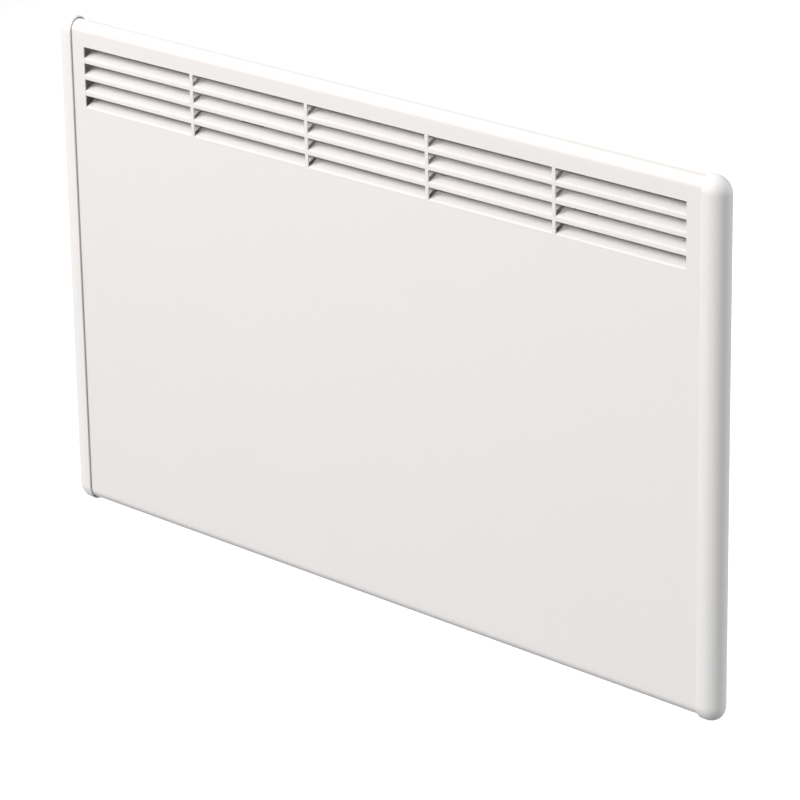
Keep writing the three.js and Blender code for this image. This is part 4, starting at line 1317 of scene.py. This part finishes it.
@dataclass
class MainsSwitch:
    """A rocker with its two marks, in a bezel with terminal blades inside the module."""

    centre: Point2
    floor: float
    bezel: Port = Port(13.0, 9.0, 1.5)
    bezel_height: float = 1.2
    box: Point3 = (11.0, 7.0, 17.0)
    well: Port = Port(9.8, 5.8, 0.6)
    well_depth: float = 13.0
    blade_xs: tuple[float, ...] = (-6.0, 0.0, 6.0)
    blade_half: Point2 = (2.4, 0.4)
    blade_span: Point2 = (16.5, 24.0)
    pivot: float = 3.0
    tilt: float = 10.0
    rocker_half: Point2 = (8.8, 5.5)
    rocker_drop: float = 4.6
    rocker_side: float = 2.2
    dish: float = 1.3
    axle: float = 1.5
    mark_span: Point2 = (0.33, 0.75)  # above the rocker's lowest line, from surface to root
    bar_mark: Point3 = (-5.6, -4.9, 1.7)  # its two sides and half its length
    ring_mark: Point3 = (5.2, 1.7, 1.1)  # its place, outer and inner radius

    def build(self) -> None:
        """Builds the bezel, the rocker and its marks."""
        self.build_bezel()
        self.build_rocker()
        self.build_marks()

    def build_bezel(self) -> None:
        """Builds the bezel with its box and blades."""
        (x, y), floor = self.centre, self.floor
        rim = self.bezel.outline(self.centre)
        blank = Blank().prism(Axis.Z, rim, floor - self.bezel_height, floor - FIT)
        half_x, half_y, height = self.box
        low = (x - half_x, y - half_y, floor - FIT - 0.1)
        blank.joined(Blank().block(low, (x + half_x, y + half_y, floor + height)))
        well = Blank().prism(
            Axis.Z, self.well.outline(self.centre), floor - 2, floor + self.well_depth
        )
        blank.cut(well)
        blades = Blank()
        half_x, half_y = self.blade_half
        start, end = self.blade_span
        for place in self.blade_xs:
            low = (x + place - half_x, y - half_y, floor + start)
            blades.block(low, (x + place + half_x, y + half_y, floor + end))
        blank.joined(blades)
        blank.piece(
            "switch_bezel", Finishes.BLACK, replaces=["switch_frame"],
            rounding=0.3, rounding_angle=60,
        )

    def _tilted(self, blank: Blank) -> Blank:
        """Tilts a blank about the rocker's axle, as it rests, and puts it in its place."""
        return blank.rolled(Axis.Y, self.tilt).moved(*self.centre, self.floor + self.pivot)

    def build_rocker(self) -> None:
        """Builds the rocker: a dished underside, short ends and a round back on its axle."""
        half, half_width = self.rocker_half
        low, high = -self.rocker_drop, self.rocker_side - self.rocker_drop
        side = [(-half, high), (-half, low)]
        side += [(half * s, low + self.dish * (1 - s * s)) for s in (i / 5 for i in range(-4, 5))]
        side += [(half, low), (half, high), *arc((0, 0), 2 * self.axle, 12, 168, 12)]
        blank = Blank().prism(Axis.Y, side, -half_width, half_width)
        axle, end = self.axle, half_width + OVERRUN
        blank.cut(Blank().turned(Axis.Y, [(0, -end), (axle, -end), (axle, end), (0, end)], 24))
        self._tilted(blank).piece(
            "rocker", Finishes.BLACK, "rocker", ["switch_rocker"], rounding=0.45, rounding_angle=60
        )

    def build_marks(self) -> None:
        """Builds the marks on the rocker: a bar at one end and a ring at the other."""
        low, high = (level - self.rocker_drop for level in self.mark_span)
        left, right, half = self.bar_mark
        place, outer, inner = self.ring_mark
        marks = Blank().block((left, -half, low), (right, half, high))
        marks.with_skins_of([Blank().washer(outer, inner, low, high).moved(place)])
        self._tilted(marks).piece("rocker_marks", Finishes.MARK, "rocker")


BUTTON_PROFILE = (  # (radius, height): dished crown, side, collar inside the module and stem
    (0, -1.55), (2.4, -1.62), (3.3, -1.8), (3.8, -1.72), (4.12, -1.45), (4.2, -1.0), (4.2, 2.5),
    (5.6, 2.5), (5.6, 3.7), (1.8, 3.7), (1.8, 8.1), (0, 8.1),
)


class Button(Enum):
    """The push buttons, by their distance from the module's left end."""

    MINUS = 58.0
    MODE = 78.0
    PLUS = 98.0

    @property
    def word(self) -> str:
        """The button's name in piece names."""
        return self.name.lower()

    def mark(self, low: float = -1.67, high: float = -1.4) -> Blank:
        """The mark on the button: a bar, a cross or a ring.

        Args:
            low: Height of its surface.
            high: Height of its root in the cap.

        Returns:
            The mark.
        """
        reach, half = 1.6, 0.28
        if self is Button.MODE:
            return Blank().washer(1.5, 1.0, low, high)
        mark = Blank().block((-reach, -half, low), (reach, half, high))
        if self is Button.PLUS:
            mark.joined(Blank().block((-half, -reach, low), (half, reach, high)))
        return mark

    def build(self, place: Point3) -> None:
        """Builds the button and its mark.

        Args:
            place: Where its middle meets the module's underside.
        """
        body, node = f"{self.word}_button", f"{self.word}_button"
        cap = Blank().turned(Axis.Z, BUTTON_PROFILE, 48).moved(*place)
        cap.piece(f"{self.word}_cap", Finishes.BLACK, body, [node])
        self.mark().moved(*place).piece(f"{self.word}_mark", Finishes.MARK, body)


@dataclass
class ThermostatModule:
    """The moulded box behind the lower right edge, with its controls on its underside."""

    left: float = 112.0
    front: float = 20.0
    floor: float = -385.0
    width: float = 172.0
    depth: float = 28.0
    height: float = 42.0
    corner: float = 3.0
    wall: float = 2.2
    foot: float = 1.2
    inner_foot: float = 0.4
    switch_x: float = 22.0
    switch_port: Port = Port(11.3, 7.3, 0.5)
    button_port: float = 4.5
    window_x: float = 146.0
    window: Port = Port(20.0, 8.0, 1.0)
    window_port: Port = Port(18.5, 6.5, 0.8)
    window_seat: Port = Port(20.3, 8.3, 1.3)
    window_sheet: float = 1.0
    screw_inset: float = 12.0
    screw_height: float = 30.0
    screw_seat: float = 52.0
    boss: float = 4.5
    boss_end: float = 50.7
    pilot: float = 1.8
    head_turn: float = 51.0  # degrees from one screw's recess to the next one's

    @property
    def screw_places(self) -> list[Point2]:
        """Places of the two screws that hold the module to the casing's back."""
        xs = (self.screw_inset, self.width - self.screw_inset)
        return [(self.left + x, self.floor + self.screw_height) for x in xs]

    def control(self, x: float) -> Point2:
        """The centre of a control on the underside."""
        return (self.left + x, self.front + self.depth / 2)

    def shell(self, inset: float, floor: float, top: float, foot: float) -> Blank:
        """A rounded box.

        Args:
            inset: How far it is drawn in all round.
            floor: Height of its underside.
            top: Height of its top.
            foot: Radius of its lower edge.

        Returns:
            The box.
        """
        rings = []
        for t in quarter_turn(5):
            off = inset + foot * (1 - math.sin(t))
            rings.append(self._outline(off, floor + foot * (1 - math.cos(t))))
        return Blank().skin([*rings, self._outline(inset, top)])

    def _outline(self, inset: float, z: float) -> list[Vector]:
        """A slice of the box.

        Args:
            inset: How far it is drawn in all round.
            z: The slice's height.

        Returns:
            The slice's points.
        """
        low = (self.left + inset, self.front + inset)
        high = (self.left + self.width - inset, self.front + self.depth - inset)
        outline = rectangle(low, high, max(self.corner - inset, 0.6))
        return [Vector((x, y, z)) for x, y in outline]

    def build(self) -> None:
        """Builds the housing and its controls, and dresses what is inside."""
        self.build_housing()
        MainsSwitch(self.control(self.switch_x), self.floor).build()
        for button in Button:
            button.build((*self.control(button.value), self.floor))
        window = self.window.outline(self.control(self.window_x))
        blank = Blank().prism(Axis.Z, window, self.floor, self.floor + self.window_sheet)
        blank.piece("clear_window", Finishes.WINDOW, replaces=["projector_window"], rounding=0.15)
        dress("module_cover", Finishes.MODULE, 0.3)
        dress("control_board", Finishes.BOARD, 0.15)
        dress("power_relay", Finishes.RELAY, 0.6)
        dress("projector_barrel", Finishes.BLACK, 0.0)
        dress("projector_lens", Finishes.LENS, 0.0)
        for number, (x, z) in enumerate(self.screw_places, start=1):
            head = Screw(turn=self.head_turn * number).blank().moved(x, self.screw_seat + FIT, z)
            name, node = f"module_mount_screw_{number}", f"module_screw_{number}"
            head.piece(name, Finishes.STEEL, replaces=[node])

    def build_housing(self) -> None:
        """Moulds the open box and cuts its ports."""
        top, back = self.floor + self.height, self.front + self.depth
        blank = self.shell(0, self.floor, top, self.foot)
        blank.cut(self.shell(self.wall, self.floor + self.wall, top + 2, self.inner_foot))
        bosses, pilots = Blank(), Blank()
        for centre in self.screw_places:
            bosses.prism(Axis.Y, circle(centre, self.boss, 32), back - 1, self.boss_end)
            pilots.prism(Axis.Y, circle(centre, self.pilot, 24), back - 4, self.screw_seat)
        blank.joined(bosses).cut(pilots, self.ports())
        blank.piece(
            "module_moulding", Finishes.MODULE, replaces=["module_housing"],
            rounding_angle=SOFT_ANGLE,
        )

    def ports(self) -> Blank:
        """Ports for the switch, the buttons and the window.

        Returns:
            A cutting tool.
        """
        low, high = self.floor - 1, self.floor + self.wall + 1
        seat_top = self.floor + self.window_sheet + FIT
        window = self.control(self.window_x)
        tool = Blank()
        tool.prism(Axis.Z, self.switch_port.outline(self.control(self.switch_x)), low, high)
        for button in Button:
            outline = circle(self.control(button.value), self.button_port, 40)
            tool.prism(Axis.Z, outline, low, high)
        tool.joined(Blank().prism(Axis.Z, self.window_port.outline(window), low, high))
        tool.joined(Blank().prism(Axis.Z, self.window_seat.outline(window), low, seat_top))
        return tool


# ------------------------------------------------------------------------------------- wiring


@dataclass(frozen=True)
class Lead:
    """One lead inside the casing."""

    node: str
    finish: Finish
    stops: Sequence[Point3]
    radius: float = 1.2

    def route(self, steps: int = 9) -> list[Vector]:
        """Points on a smooth curve through the lead's stops.

        Args:
            steps: Chords between two stops.

        Returns:
            The curve's points.
        """
        knots = [Vector(p) for p in self.stops]
        knots = [2 * knots[0] - knots[1], *knots, 2 * knots[-1] - knots[-2]]
        route = []
        for a, b, c, d in zip(knots, knots[1:], knots[2:], knots[3:]):
            leave, arrive = (c - a) * 0.5, (d - b) * 0.5
            shorten = min(1.0, (c - b).length / max(leave.length, arrive.length, 1e-6))
            leave, arrive = leave * shorten, arrive * shorten
            for t in (i / steps for i in range(steps)):
                start, finish = 2 * t**3 - 3 * t**2 + 1, -2 * t**3 + 3 * t**2
                out, back = t**3 - 2 * t**2 + t, t**3 - t**2
                route.append(b * start + leave * out + c * finish + arrive * back)
        return [*route, knots[-2]]

    def build(self) -> None:
        """Draws the lead along its route."""
        blank = Blank().tube(self.route(), self.radius)
        blank.piece(f"{self.node}_run", self.finish, replaces=[self.node], rounding_angle=60)


@dataclass
class Wiring:
    """The gland, sensor, terminal block and the leads inside the casing."""

    floor: float = -381.0
    depth: float = 35.0
    gland_x: float = 88.0
    gland_bore: float = 3.6
    rib_pitch: float = 2.2
    thread_pitch: float = 0.9
    sensor_x: float = 68.0
    sensor_radius: float = 2.6
    module_port: Point3 = (169.0, 34.0, -385.0)
    pin_pitch: float = 3.2
    element_pin: float = 289.3

    def build(self) -> None:
        """Builds the gland, the sensor and the leads, and dresses the rest."""
        self.build_gland()
        self.build_sensor()
        dress("gland_nut", Finishes.BLACK, 0.3)
        dress("terminal_block", Finishes.MODULE, 0.3)
        for lead in self.leads():
            lead.build()

    def build_gland(self) -> None:
        """Turns the bored gland: tail ribs, flange and threaded shank."""
        rib = ((5.2, 0), (5.8, 0.35), (5.8, 1.25), (5.2, 1.6), (4.8, 1.7), (4.8, 2.1))
        profile = [(self.gland_bore, -14.8), (3.9, -15)]
        for z in stepped(-15.0, -4.6, self.rib_pitch):
            profile += [(radius, z + rise) for radius, rise in rib]
        profile += [(5.2, -3.6), (8.6, -3.4), (8.8, -3.1), (8.8, -0.5), (8.6, -FIT), (6, -FIT)]
        for z in stepped(0.6, 10, self.thread_pitch):
            profile += [(6, z), (5.6, z + self.thread_pitch / 2)]
        profile += [(5.6, 10.8), (5.4, 11), (self.gland_bore, 11)]
        blank = Blank().turned(Axis.Z, profile, 40, closed=True)
        blank.moved(self.gland_x, self.depth, self.floor)
        blank.piece("inlet_gland", Finishes.BLACK, replaces=["cable_gland"])

    def build_sensor(self) -> None:
        """Turns the thimble that hangs in the incoming air, with breathing slots."""
        radius = self.sensor_radius
        dome = [(radius * math.sin(t), -5.6 - 2.4 * math.cos(t)) for t in quarter_turn(6)]
        profile = [*dome, (radius, -1.3), (4.4, -1.3), (4.6, -1.1), (4.6, -0.5), (4.4, -FIT)]
        profile += [(radius, -FIT), (radius, 6), (1.6, 7), (1.6, 10), (0, 10)]
        blank = Blank().turned(Axis.Z, profile, 32)
        for quarter in range(4):
            breath = Blank().block((2.0, -0.45, -5.2), (4, 0.45, -2))
            blank.cut(breath.rolled(Axis.Z, 45 + 90 * quarter))
        blank.moved(self.sensor_x, self.depth, self.floor)
        blank.piece("sensor_thimble", Finishes.BLACK, replaces=["room_sensor"])

    def rising(self, pole: float) -> list[Point3]:
        """The straight start of a lead, up from the board's connector and out of the lid.

        Args:
            pole: The lead's place in the connector, from its middle.

        Returns:
            The lead's first two stops.
        """
        x, y, floor = self.module_port
        x += self.pin_pitch * pole
        return [(x, y, floor + 23.3), (x, y, floor + 45)]

    def leads(self) -> list[Lead]:
        """The leads, by the way that each takes.

        Returns:
            The leads.
        """
        pin = self.element_pin
        brown, blue, black = Finishes.BROWN_LEAD, Finishes.BLUE_LEAD, Finishes.BLACK_LEAD
        return [
            Lead("mains_lead_live", brown, [
                *self.rising(-1), (155, 38, -331), (110, 43, -330), (70, 45.7, -334),
                (68.5, 45.7, -340), (68.5, 45.7, -349),
            ]),
            Lead("mains_lead_neutral", blue, [
                *self.rising(-2), (150, 38, -337), (118, 43, -336), (93, 45.7, -338),
                (90.5, 45.7, -343), (90.5, 45.7, -349),
            ]),
            Lead("cutout_lead", brown, [
                *self.rising(0), (166, 36, -324), (138, 38, -314), (60, 46, -298), (0, 46, -264),
                (-38, 34, -249), (-53, 31, -246),
            ]),
            Lead("right_element_lead", blue, [
                *self.rising(1), (184, 36, -326), (226, 38, -318), (268, 35, -312),
                (pin, 30, -298), (pin, 27, -285), (pin - 4.1, 27, -282),
            ]),
            Lead("left_element_lead", brown, [
                (-67, 31, -246), (-84, 36, -248), (-130, 46, -252), (-230, 48, -254),
                (-270, 44, -262), (-pin, 34, -274), (-pin, 27, -280), (-pin + 4.1, 27, -282),
            ]),
            Lead("sensor_lead", black, [
                *self.rising(2), (175, 30, -330), (150, 26, -324), (104, 28, -328),
                (76, 31, -342), (68, 33, -358), (68, 35, -370.7),
            ]),
        ]


# -------------------------------------------------------------------------------- wall bracket


@dataclass
class Latch:
    """A sliding latch with a ribbed thumb pad, its nose hooked up inside the casing's back."""

    front: float
    back: float = -4.0
    half: float = 14.0
    bottom: float = -8.0
    top: float = 29.0
    nose_half: float = 9.0
    nose_back: float = -30.0
    nose_sheet: float = 3.0
    slot_top: float = 18.0
    hook_rise: Point2 = (4.0, 2.0)  # above the slot's top, behind and before the tip
    hook_drop: Point3 = (1.0, 5.0, 8.0)  # below the slot's top: shelf, tip and heel
    wall: float = 3.0
    pad_height: float = 10.0
    pad_chamfer: float = 3.0
    pad_slope: float = 2.0
    grooves: int = 4
    groove_start: float = 5.0
    groove_pitch: float = 3.2
    groove_width: float = 1.4
    pocket: float = 10.0

    def blank(self) -> Blank:
        """Moulds the latch.

        Returns:
            The latch.
        """
        front, wall, chamfer = self.front, self.wall, self.pad_chamfer
        pad = self.top + self.pad_height
        side = [(self.back, self.bottom), (self.back, self.top), (self.back - self.pad_slope, pad)]
        side += [(front + chamfer, pad), (front, pad - chamfer), (front, self.bottom)]
        blank = Blank().prism(Axis.X, side, -self.half, self.half)
        heel, back, tip = front + 1, self.nose_back, self.nose_back - self.nose_sheet
        rise_back, rise_tip = (self.slot_top + rise for rise in self.hook_rise)
        shelf, drop_tip, drop_heel = (self.slot_top - drop for drop in self.hook_drop)
        hook = [(heel, shelf), (back, shelf), (back, rise_back)]
        hook += [(tip, rise_tip), (tip, drop_tip), (heel, drop_heel)]
        blank.joined(Blank().prism(Axis.X, hook, -self.nose_half, self.nose_half))
        grooves = Blank()
        for i in range(self.grooves):
            y = front + self.groove_start + i * self.groove_pitch
            corner = (wall - self.half, y, pad - 1)
            grooves.block(corner, (self.half - wall, y + self.groove_width, pad + 2))
        corner = (wall - self.half, front + wall, self.bottom - 1)
        inner = (self.half - wall, self.back - wall, self.bottom + self.pocket)
        pocket = Blank().block(corner, inner)
        return blank.cut(grooves, pocket)


@dataclass
class WallBracket:
    """Two rails on the wall, two channel uprights with hooks, and two sliding latches."""

    upright_x: float = 170.0
    width: float = 34.0
    sheet: float = 1.5
    upright_bend: float = 2.6
    top: float = 30.0
    foot: float = -260.0
    flange_front: float = -27.7
    nose_front: float = -34.5
    nose_back: float = -31.0
    web_back: float = -1.8
    brow: Point2 = (-20.0, -14.0)  # depths where the flange's top is rounded off and sloped
    brow_size: Point2 = (7.7, 5.0)
    brow_drop: float = 8.0
    seat: float = -246.3
    guide_reach: float = 3.0
    guide_foot: float = -30.0
    guide_top: float = 20.0
    stop_top: float = -15.6
    window_drops: tuple[float, ...] = (-80.0, -130.0, -180.0)
    window_size: Point2 = (16.0, 30.0)
    rail_half: float = 205.0
    rail_height: float = 30.0
    rail_corner: float = 5.0
    rail_bend: float = 2.5
    rail_lip: float = 7.0
    lip_gap: float = 2.0
    lip_end: float = 8.0
    lower_rail: float = -215.0
    wall_screw_x: float = 110.0
    wall_screw_slot: Point2 = (18.0, 7.0)

    def build(self) -> None:
        """Builds rails, uprights and latches."""
        zinc, black = Finishes.ZINC, Finishes.BLACK
        for name, z in (("upper", 0.0), ("lower", self.lower_rail)):
            node = f"{name}_bracket_rail"
            rail = self.rail().moved(0, 0, z)
            rail.piece(f"{name}_rail", zinc, HEATER_BODY, [node], BRACKET, 0.25, SOFT_ANGLE)
        for side in Side:
            word, x = side.word, side.value * self.upright_x
            node = f"{word}_bracket_upright"
            upright = self.upright().moved(x)
            upright.piece(f"{word}_upright", zinc, HEATER_BODY, [node], BRACKET, 0.25, SOFT_ANGLE)
            node = f"{word}_bracket_latch"
            latch = Latch(self.flange_front + self.sheet + FIT).blank().moved(x)
            latch.piece(f"{word}_slider", black, f"{word}_latch", [node], BRACKET, 0.5, SOFT_ANGLE)

    def rail(self) -> Blank:
        """A flat rail with folded lips that stop short of the uprights.

        Returns:
            The rail, with its screw slots.
        """
        half, sheet, lip, end = self.rail_height / 2, self.sheet, self.rail_lip, self.rail_half
        outer, inner = self.rail_bend, self.rail_bend - sheet
        low, high = (-outer, outer - half), (-outer, half - outer)
        section = [(-lip, half), *arc(high, outer, 90, 0), *arc(low, outer, 0, -90), (-lip, -half)]
        section += [(-lip, sheet - half), *arc(low, inner, -90, 0), *arc(high, inner, 0, 90)]
        section += [(-lip, half - sheet)]
        lips = Blank().prism(Axis.X, section, -end, end)
        gap = self.width / 2 + self.lip_gap
        spans = [(x - gap, x + gap) for x in (-self.upright_x, self.upright_x)]
        spans += [(-end - 1, self.lip_end - end), (end - self.lip_end, end + 1)]
        clearance = Blank()
        for left, right in spans:
            clearance.block((left, -lip - 1, -half - 1), (right, 1, half + 1))
        flat = rectangle((-end, -half), (end, half), self.rail_corner)
        slots = Blank()
        for x in (-self.wall_screw_x, self.wall_screw_x):
            slots.prism(Axis.Y, slot((x, 0), *self.wall_screw_slot, 10), -5, 1)
        return lips.cut(clearance).joined(Blank().prism(Axis.Y, flat, -sheet, 0)).cut(slots)

    def upright(self) -> Blank:
        """A channel with rounded bends, a hook at its foot and guides for the latch at its top.

        Returns:
            The upright.
        """
        half, sheet, front = self.width / 2, self.sheet, self.nose_front
        outer, inner = self.upright_bend, self.upright_bend - sheet
        left, right = (outer - half, self.web_back - outer), (half - outer, self.web_back - outer)
        section = [(-half, front), (sheet - half, front), *arc(left, inner, 180, 90)]
        section += [*arc(right, inner, 90, 0), (half - sheet, front), (half, front)]
        section += [*arc(right, outer, 0, 90), *arc(left, outer, 90, 180)]
        blank = Blank().prism(Axis.Z, section, self.foot, self.top)
        blank.kept_within(Blank().prism(Axis.X, self.flange_outline(), -half - 1, half + 1))
        guides = Blank()
        inside = half - sheet - self.guide_reach
        for low, high in ((-half, -inside), (inside, half)):
            corner = (low, self.flange_front, self.guide_foot)
            guides.block(corner, (high, self.flange_front + sheet, self.guide_top))
        corner = (0.5 - half, self.flange_front + 6, self.stop_top - sheet)
        stop = Blank().block(corner, (half - 0.5, self.web_back, self.stop_top))
        windows = Blank()
        for z in self.window_drops:
            windows.prism(Axis.Y, slot((0, z), *self.window_size, 10), -8, 0)
        return blank.joined(guides, stop).cut(windows)

    def flange_outline(self) -> list[Point2]:
        """Side view of an upright, with the hook that carries the casing.

        Returns:
            (depth, height) pairs.
        """
        back, front, seat = self.nose_back, self.nose_front, self.seat
        nose = (back - front) / 2
        round_off, level = self.brow
        return [
            (self.web_back, self.foot),
            (self.web_back, self.top),
            (level, self.top),
            *elliptic_arc((round_off, self.top - self.brow_drop), self.brow_size, 90, 180),
            (self.flange_front, self.top - self.brow_drop - 4),
            (self.flange_front, seat),
            (back, seat),
            (back, seat + 8),
            *arc((back - nose, seat + 7.25), nose, 25, 155),
            (front, seat - 4),
            *arc((front + 2, seat - 4), 2, 180, 270, 5),
            (self.flange_front, seat - 6),
            (self.flange_front + 6, self.foot),
        ]


# ------------------------------------------------------------------------------------- studio


@dataclass
class Studio:
    """A pale floor, soft light from above and round about, and the camera. Sizes are in metres."""

    floor_level: float = -2.0
    floor_reach: float = 14.0
    azimuth: float = 44.16
    elevation: float = 20.20
    roll: float = -0.954
    lens: float = 183.23
    sensor: float = 36.0
    view_end: float = 60.0
    eye: Point3 = (2.00087, -2.10851, 0.89018)
    dusk: Point2 = (-0.4, -0.05)  # the sky turns from dim to even between these heights
    under_level: float = 0.2
    ambient_level: float = 0.503
    glow_level: float = 14.8
    glow_falloff: float = 50.0
    glow_direction: Point3 = (-0.543, -0.696, 0.469)
    rim_level: float = 1.8
    rim_falloff: float = 12.0
    rim_direction: Point3 = (0.66, 0.62, 0.3)
    lamp_size: Point2 = (3.2, 6.6)
    lamp_place: Point3 = (-3.9, 4.05, 0.0)
    lamp_power: float = 150.0
    front_place: Point3 = (-0.5, -1.1, 1.2)
    front_aim: Point3 = (0.0, -0.08, -0.1)
    front_size: Point2 = (1.0, 0.7)
    front_power: float = 11.5
    front_colour: Colour = (1.0, 0.86, 0.8)

    def build(self) -> None:
        """Builds the whole studio."""
        self.build_floor()
        self.build_sky()
        self.build_lamps()
        self.build_camera()
        bpy.context.scene.view_settings.view_transform = "Standard"

    def build_floor(self) -> None:
        """Lays a wide pale floor."""
        data = bpy.data.meshes.new("studio_floor")
        ways = ((-1, -1), (1, -1), (1, 1), (-1, 1))
        corners = [(x * self.floor_reach, y * self.floor_reach, self.floor_level) for x, y in ways]
        data.from_pydata(corners, [], [(0, 1, 2, 3)])
        made = put_in_scene("studio_floor", data)
        data.materials.append(Finishes.FLOOR.material())
        made.visible_diffuse = False  # only the sky lights the heater from below

    def build_sky(self) -> None:
        """Surrounds the scene with soft light, and one glow in front and one behind."""
        world = bpy.data.worlds.new("studio_light")
        bpy.context.scene.world = world
        world.use_nodes = True
        graph = NodeGraph(world.node_tree)
        direction = graph.node("TexCoord", {}).outputs["Generated"]
        key = self._glow(graph, direction, self.glow_direction, self.glow_falloff, self.glow_level)
        rim = self._glow(graph, direction, self.rim_direction, self.rim_falloff, self.rim_level)
        height = graph.node("SeparateXYZ", {"Vector": direction}).outputs["Z"]
        feeds = dict(enumerate((height, *self.dusk, self.under_level, self.ambient_level)))
        even = graph.node("MapRange", feeds, interpolation_type="SMOOTHSTEP").outputs["Result"]
        total = graph.arithmetic("ADD", graph.arithmetic("ADD", key, rim), even)
        background = world.node_tree.nodes["Background"]
        graph.feed(background, {"Color": (1, 1, 1, 1), "Strength": total})

    @staticmethod
    def _glow(
        graph: NodeGraph, direction: Socket, aim: Point3, falloff: float, level: float
    ) -> Socket:
        """One round glow in the sky.

        Args:
            graph: The sky's nodes.
            direction: The way that is looked at.
            aim: The way to the glow's middle.
            falloff: How fast it fades round that.
            level: Its strength in the middle.

        Returns:
            The glow's strength.
        """
        feeds = {0: direction, 1: Vector(aim).normalized()}
        towards = graph.node("VectorMath", feeds, operation="DOT_PRODUCT").outputs["Value"]
        fading = graph.arithmetic("POWER", graph.arithmetic("MAXIMUM", towards, 0.0), falloff)
        return graph.arithmetic("MULTIPLY", fading, level)

    def build_lamps(self) -> None:
        """Hangs a small softbox before the heater and a large one over the floor far behind it."""
        beam = Vector(self.front_aim) - Vector(self.front_place)
        aim = beam.to_track_quat("-Z", "Y").to_euler()
        front = self._softbox(
            "front_softbox", self.front_place, aim, self.front_size, self.front_power
        )
        front.data.color = self.front_colour
        front.visible_glossy = False
        level = (0, 0, math.radians(self.azimuth))
        self._softbox("floor_softbox", self.lamp_place, level, self.lamp_size, self.lamp_power)

    @staticmethod
    def _softbox(
        name: str, place: Point3, turn: Sequence[float], size: Point2, power: float
    ) -> bpy.types.Object:
        """Hangs one softbox.

        Args:
            name: Its name.
            place: Its middle.
            turn: Its Euler angles. With none it shines straight down.
            size: Its two sides.
            power: Its power in watts.

        Returns:
            The lamp, in white.
        """
        data = bpy.data.lights.new(name, "AREA")
        data.shape = "RECTANGLE"
        data.size, data.size_y = size
        data.energy = power
        lamp = put_in_scene(name, data)
        lamp.location, lamp.rotation_euler = place, turn
        lamp.visible_camera = False
        return lamp

    def build_camera(self) -> None:
        """Sets the camera up by its bearing, height and roll."""
        turn, tilt, roll = (math.radians(a) for a in (self.azimuth, self.elevation, self.roll))
        level = Vector((math.cos(turn), math.sin(turn), 0))
        outward = Vector((-math.sin(turn), math.cos(turn), 0))
        ahead = outward * math.cos(tilt) - Vector((0, 0, math.sin(tilt)))
        right = level * math.cos(roll) + level.cross(ahead) * math.sin(roll)
        turned = Matrix((right, right.cross(ahead), -ahead)).transposed().to_4x4()
        data = bpy.data.cameras.new("viewpoint")
        data.lens = self.lens
        data.sensor_width = self.sensor
        data.clip_end = self.view_end
        camera = put_in_scene("viewpoint", data)
        camera.matrix_world = Matrix.Translation(self.eye) @ turned
        bpy.context.scene.camera = camera


def main() -> None:
    """Builds the heater's pieces in order, then the studio."""
    logging.basicConfig(level=logging.INFO, format="%(message)s", stream=sys.stdout)
    FrontPanel().build()
    for side in Side:
        EndCap(side).build()
    RearCasing().build()
    HeatingElement().build()
    ThermostatModule().build()
    Wiring().build()
    WallBracket().build()
    Studio().build()


if __name__ == "__main__":
    main()
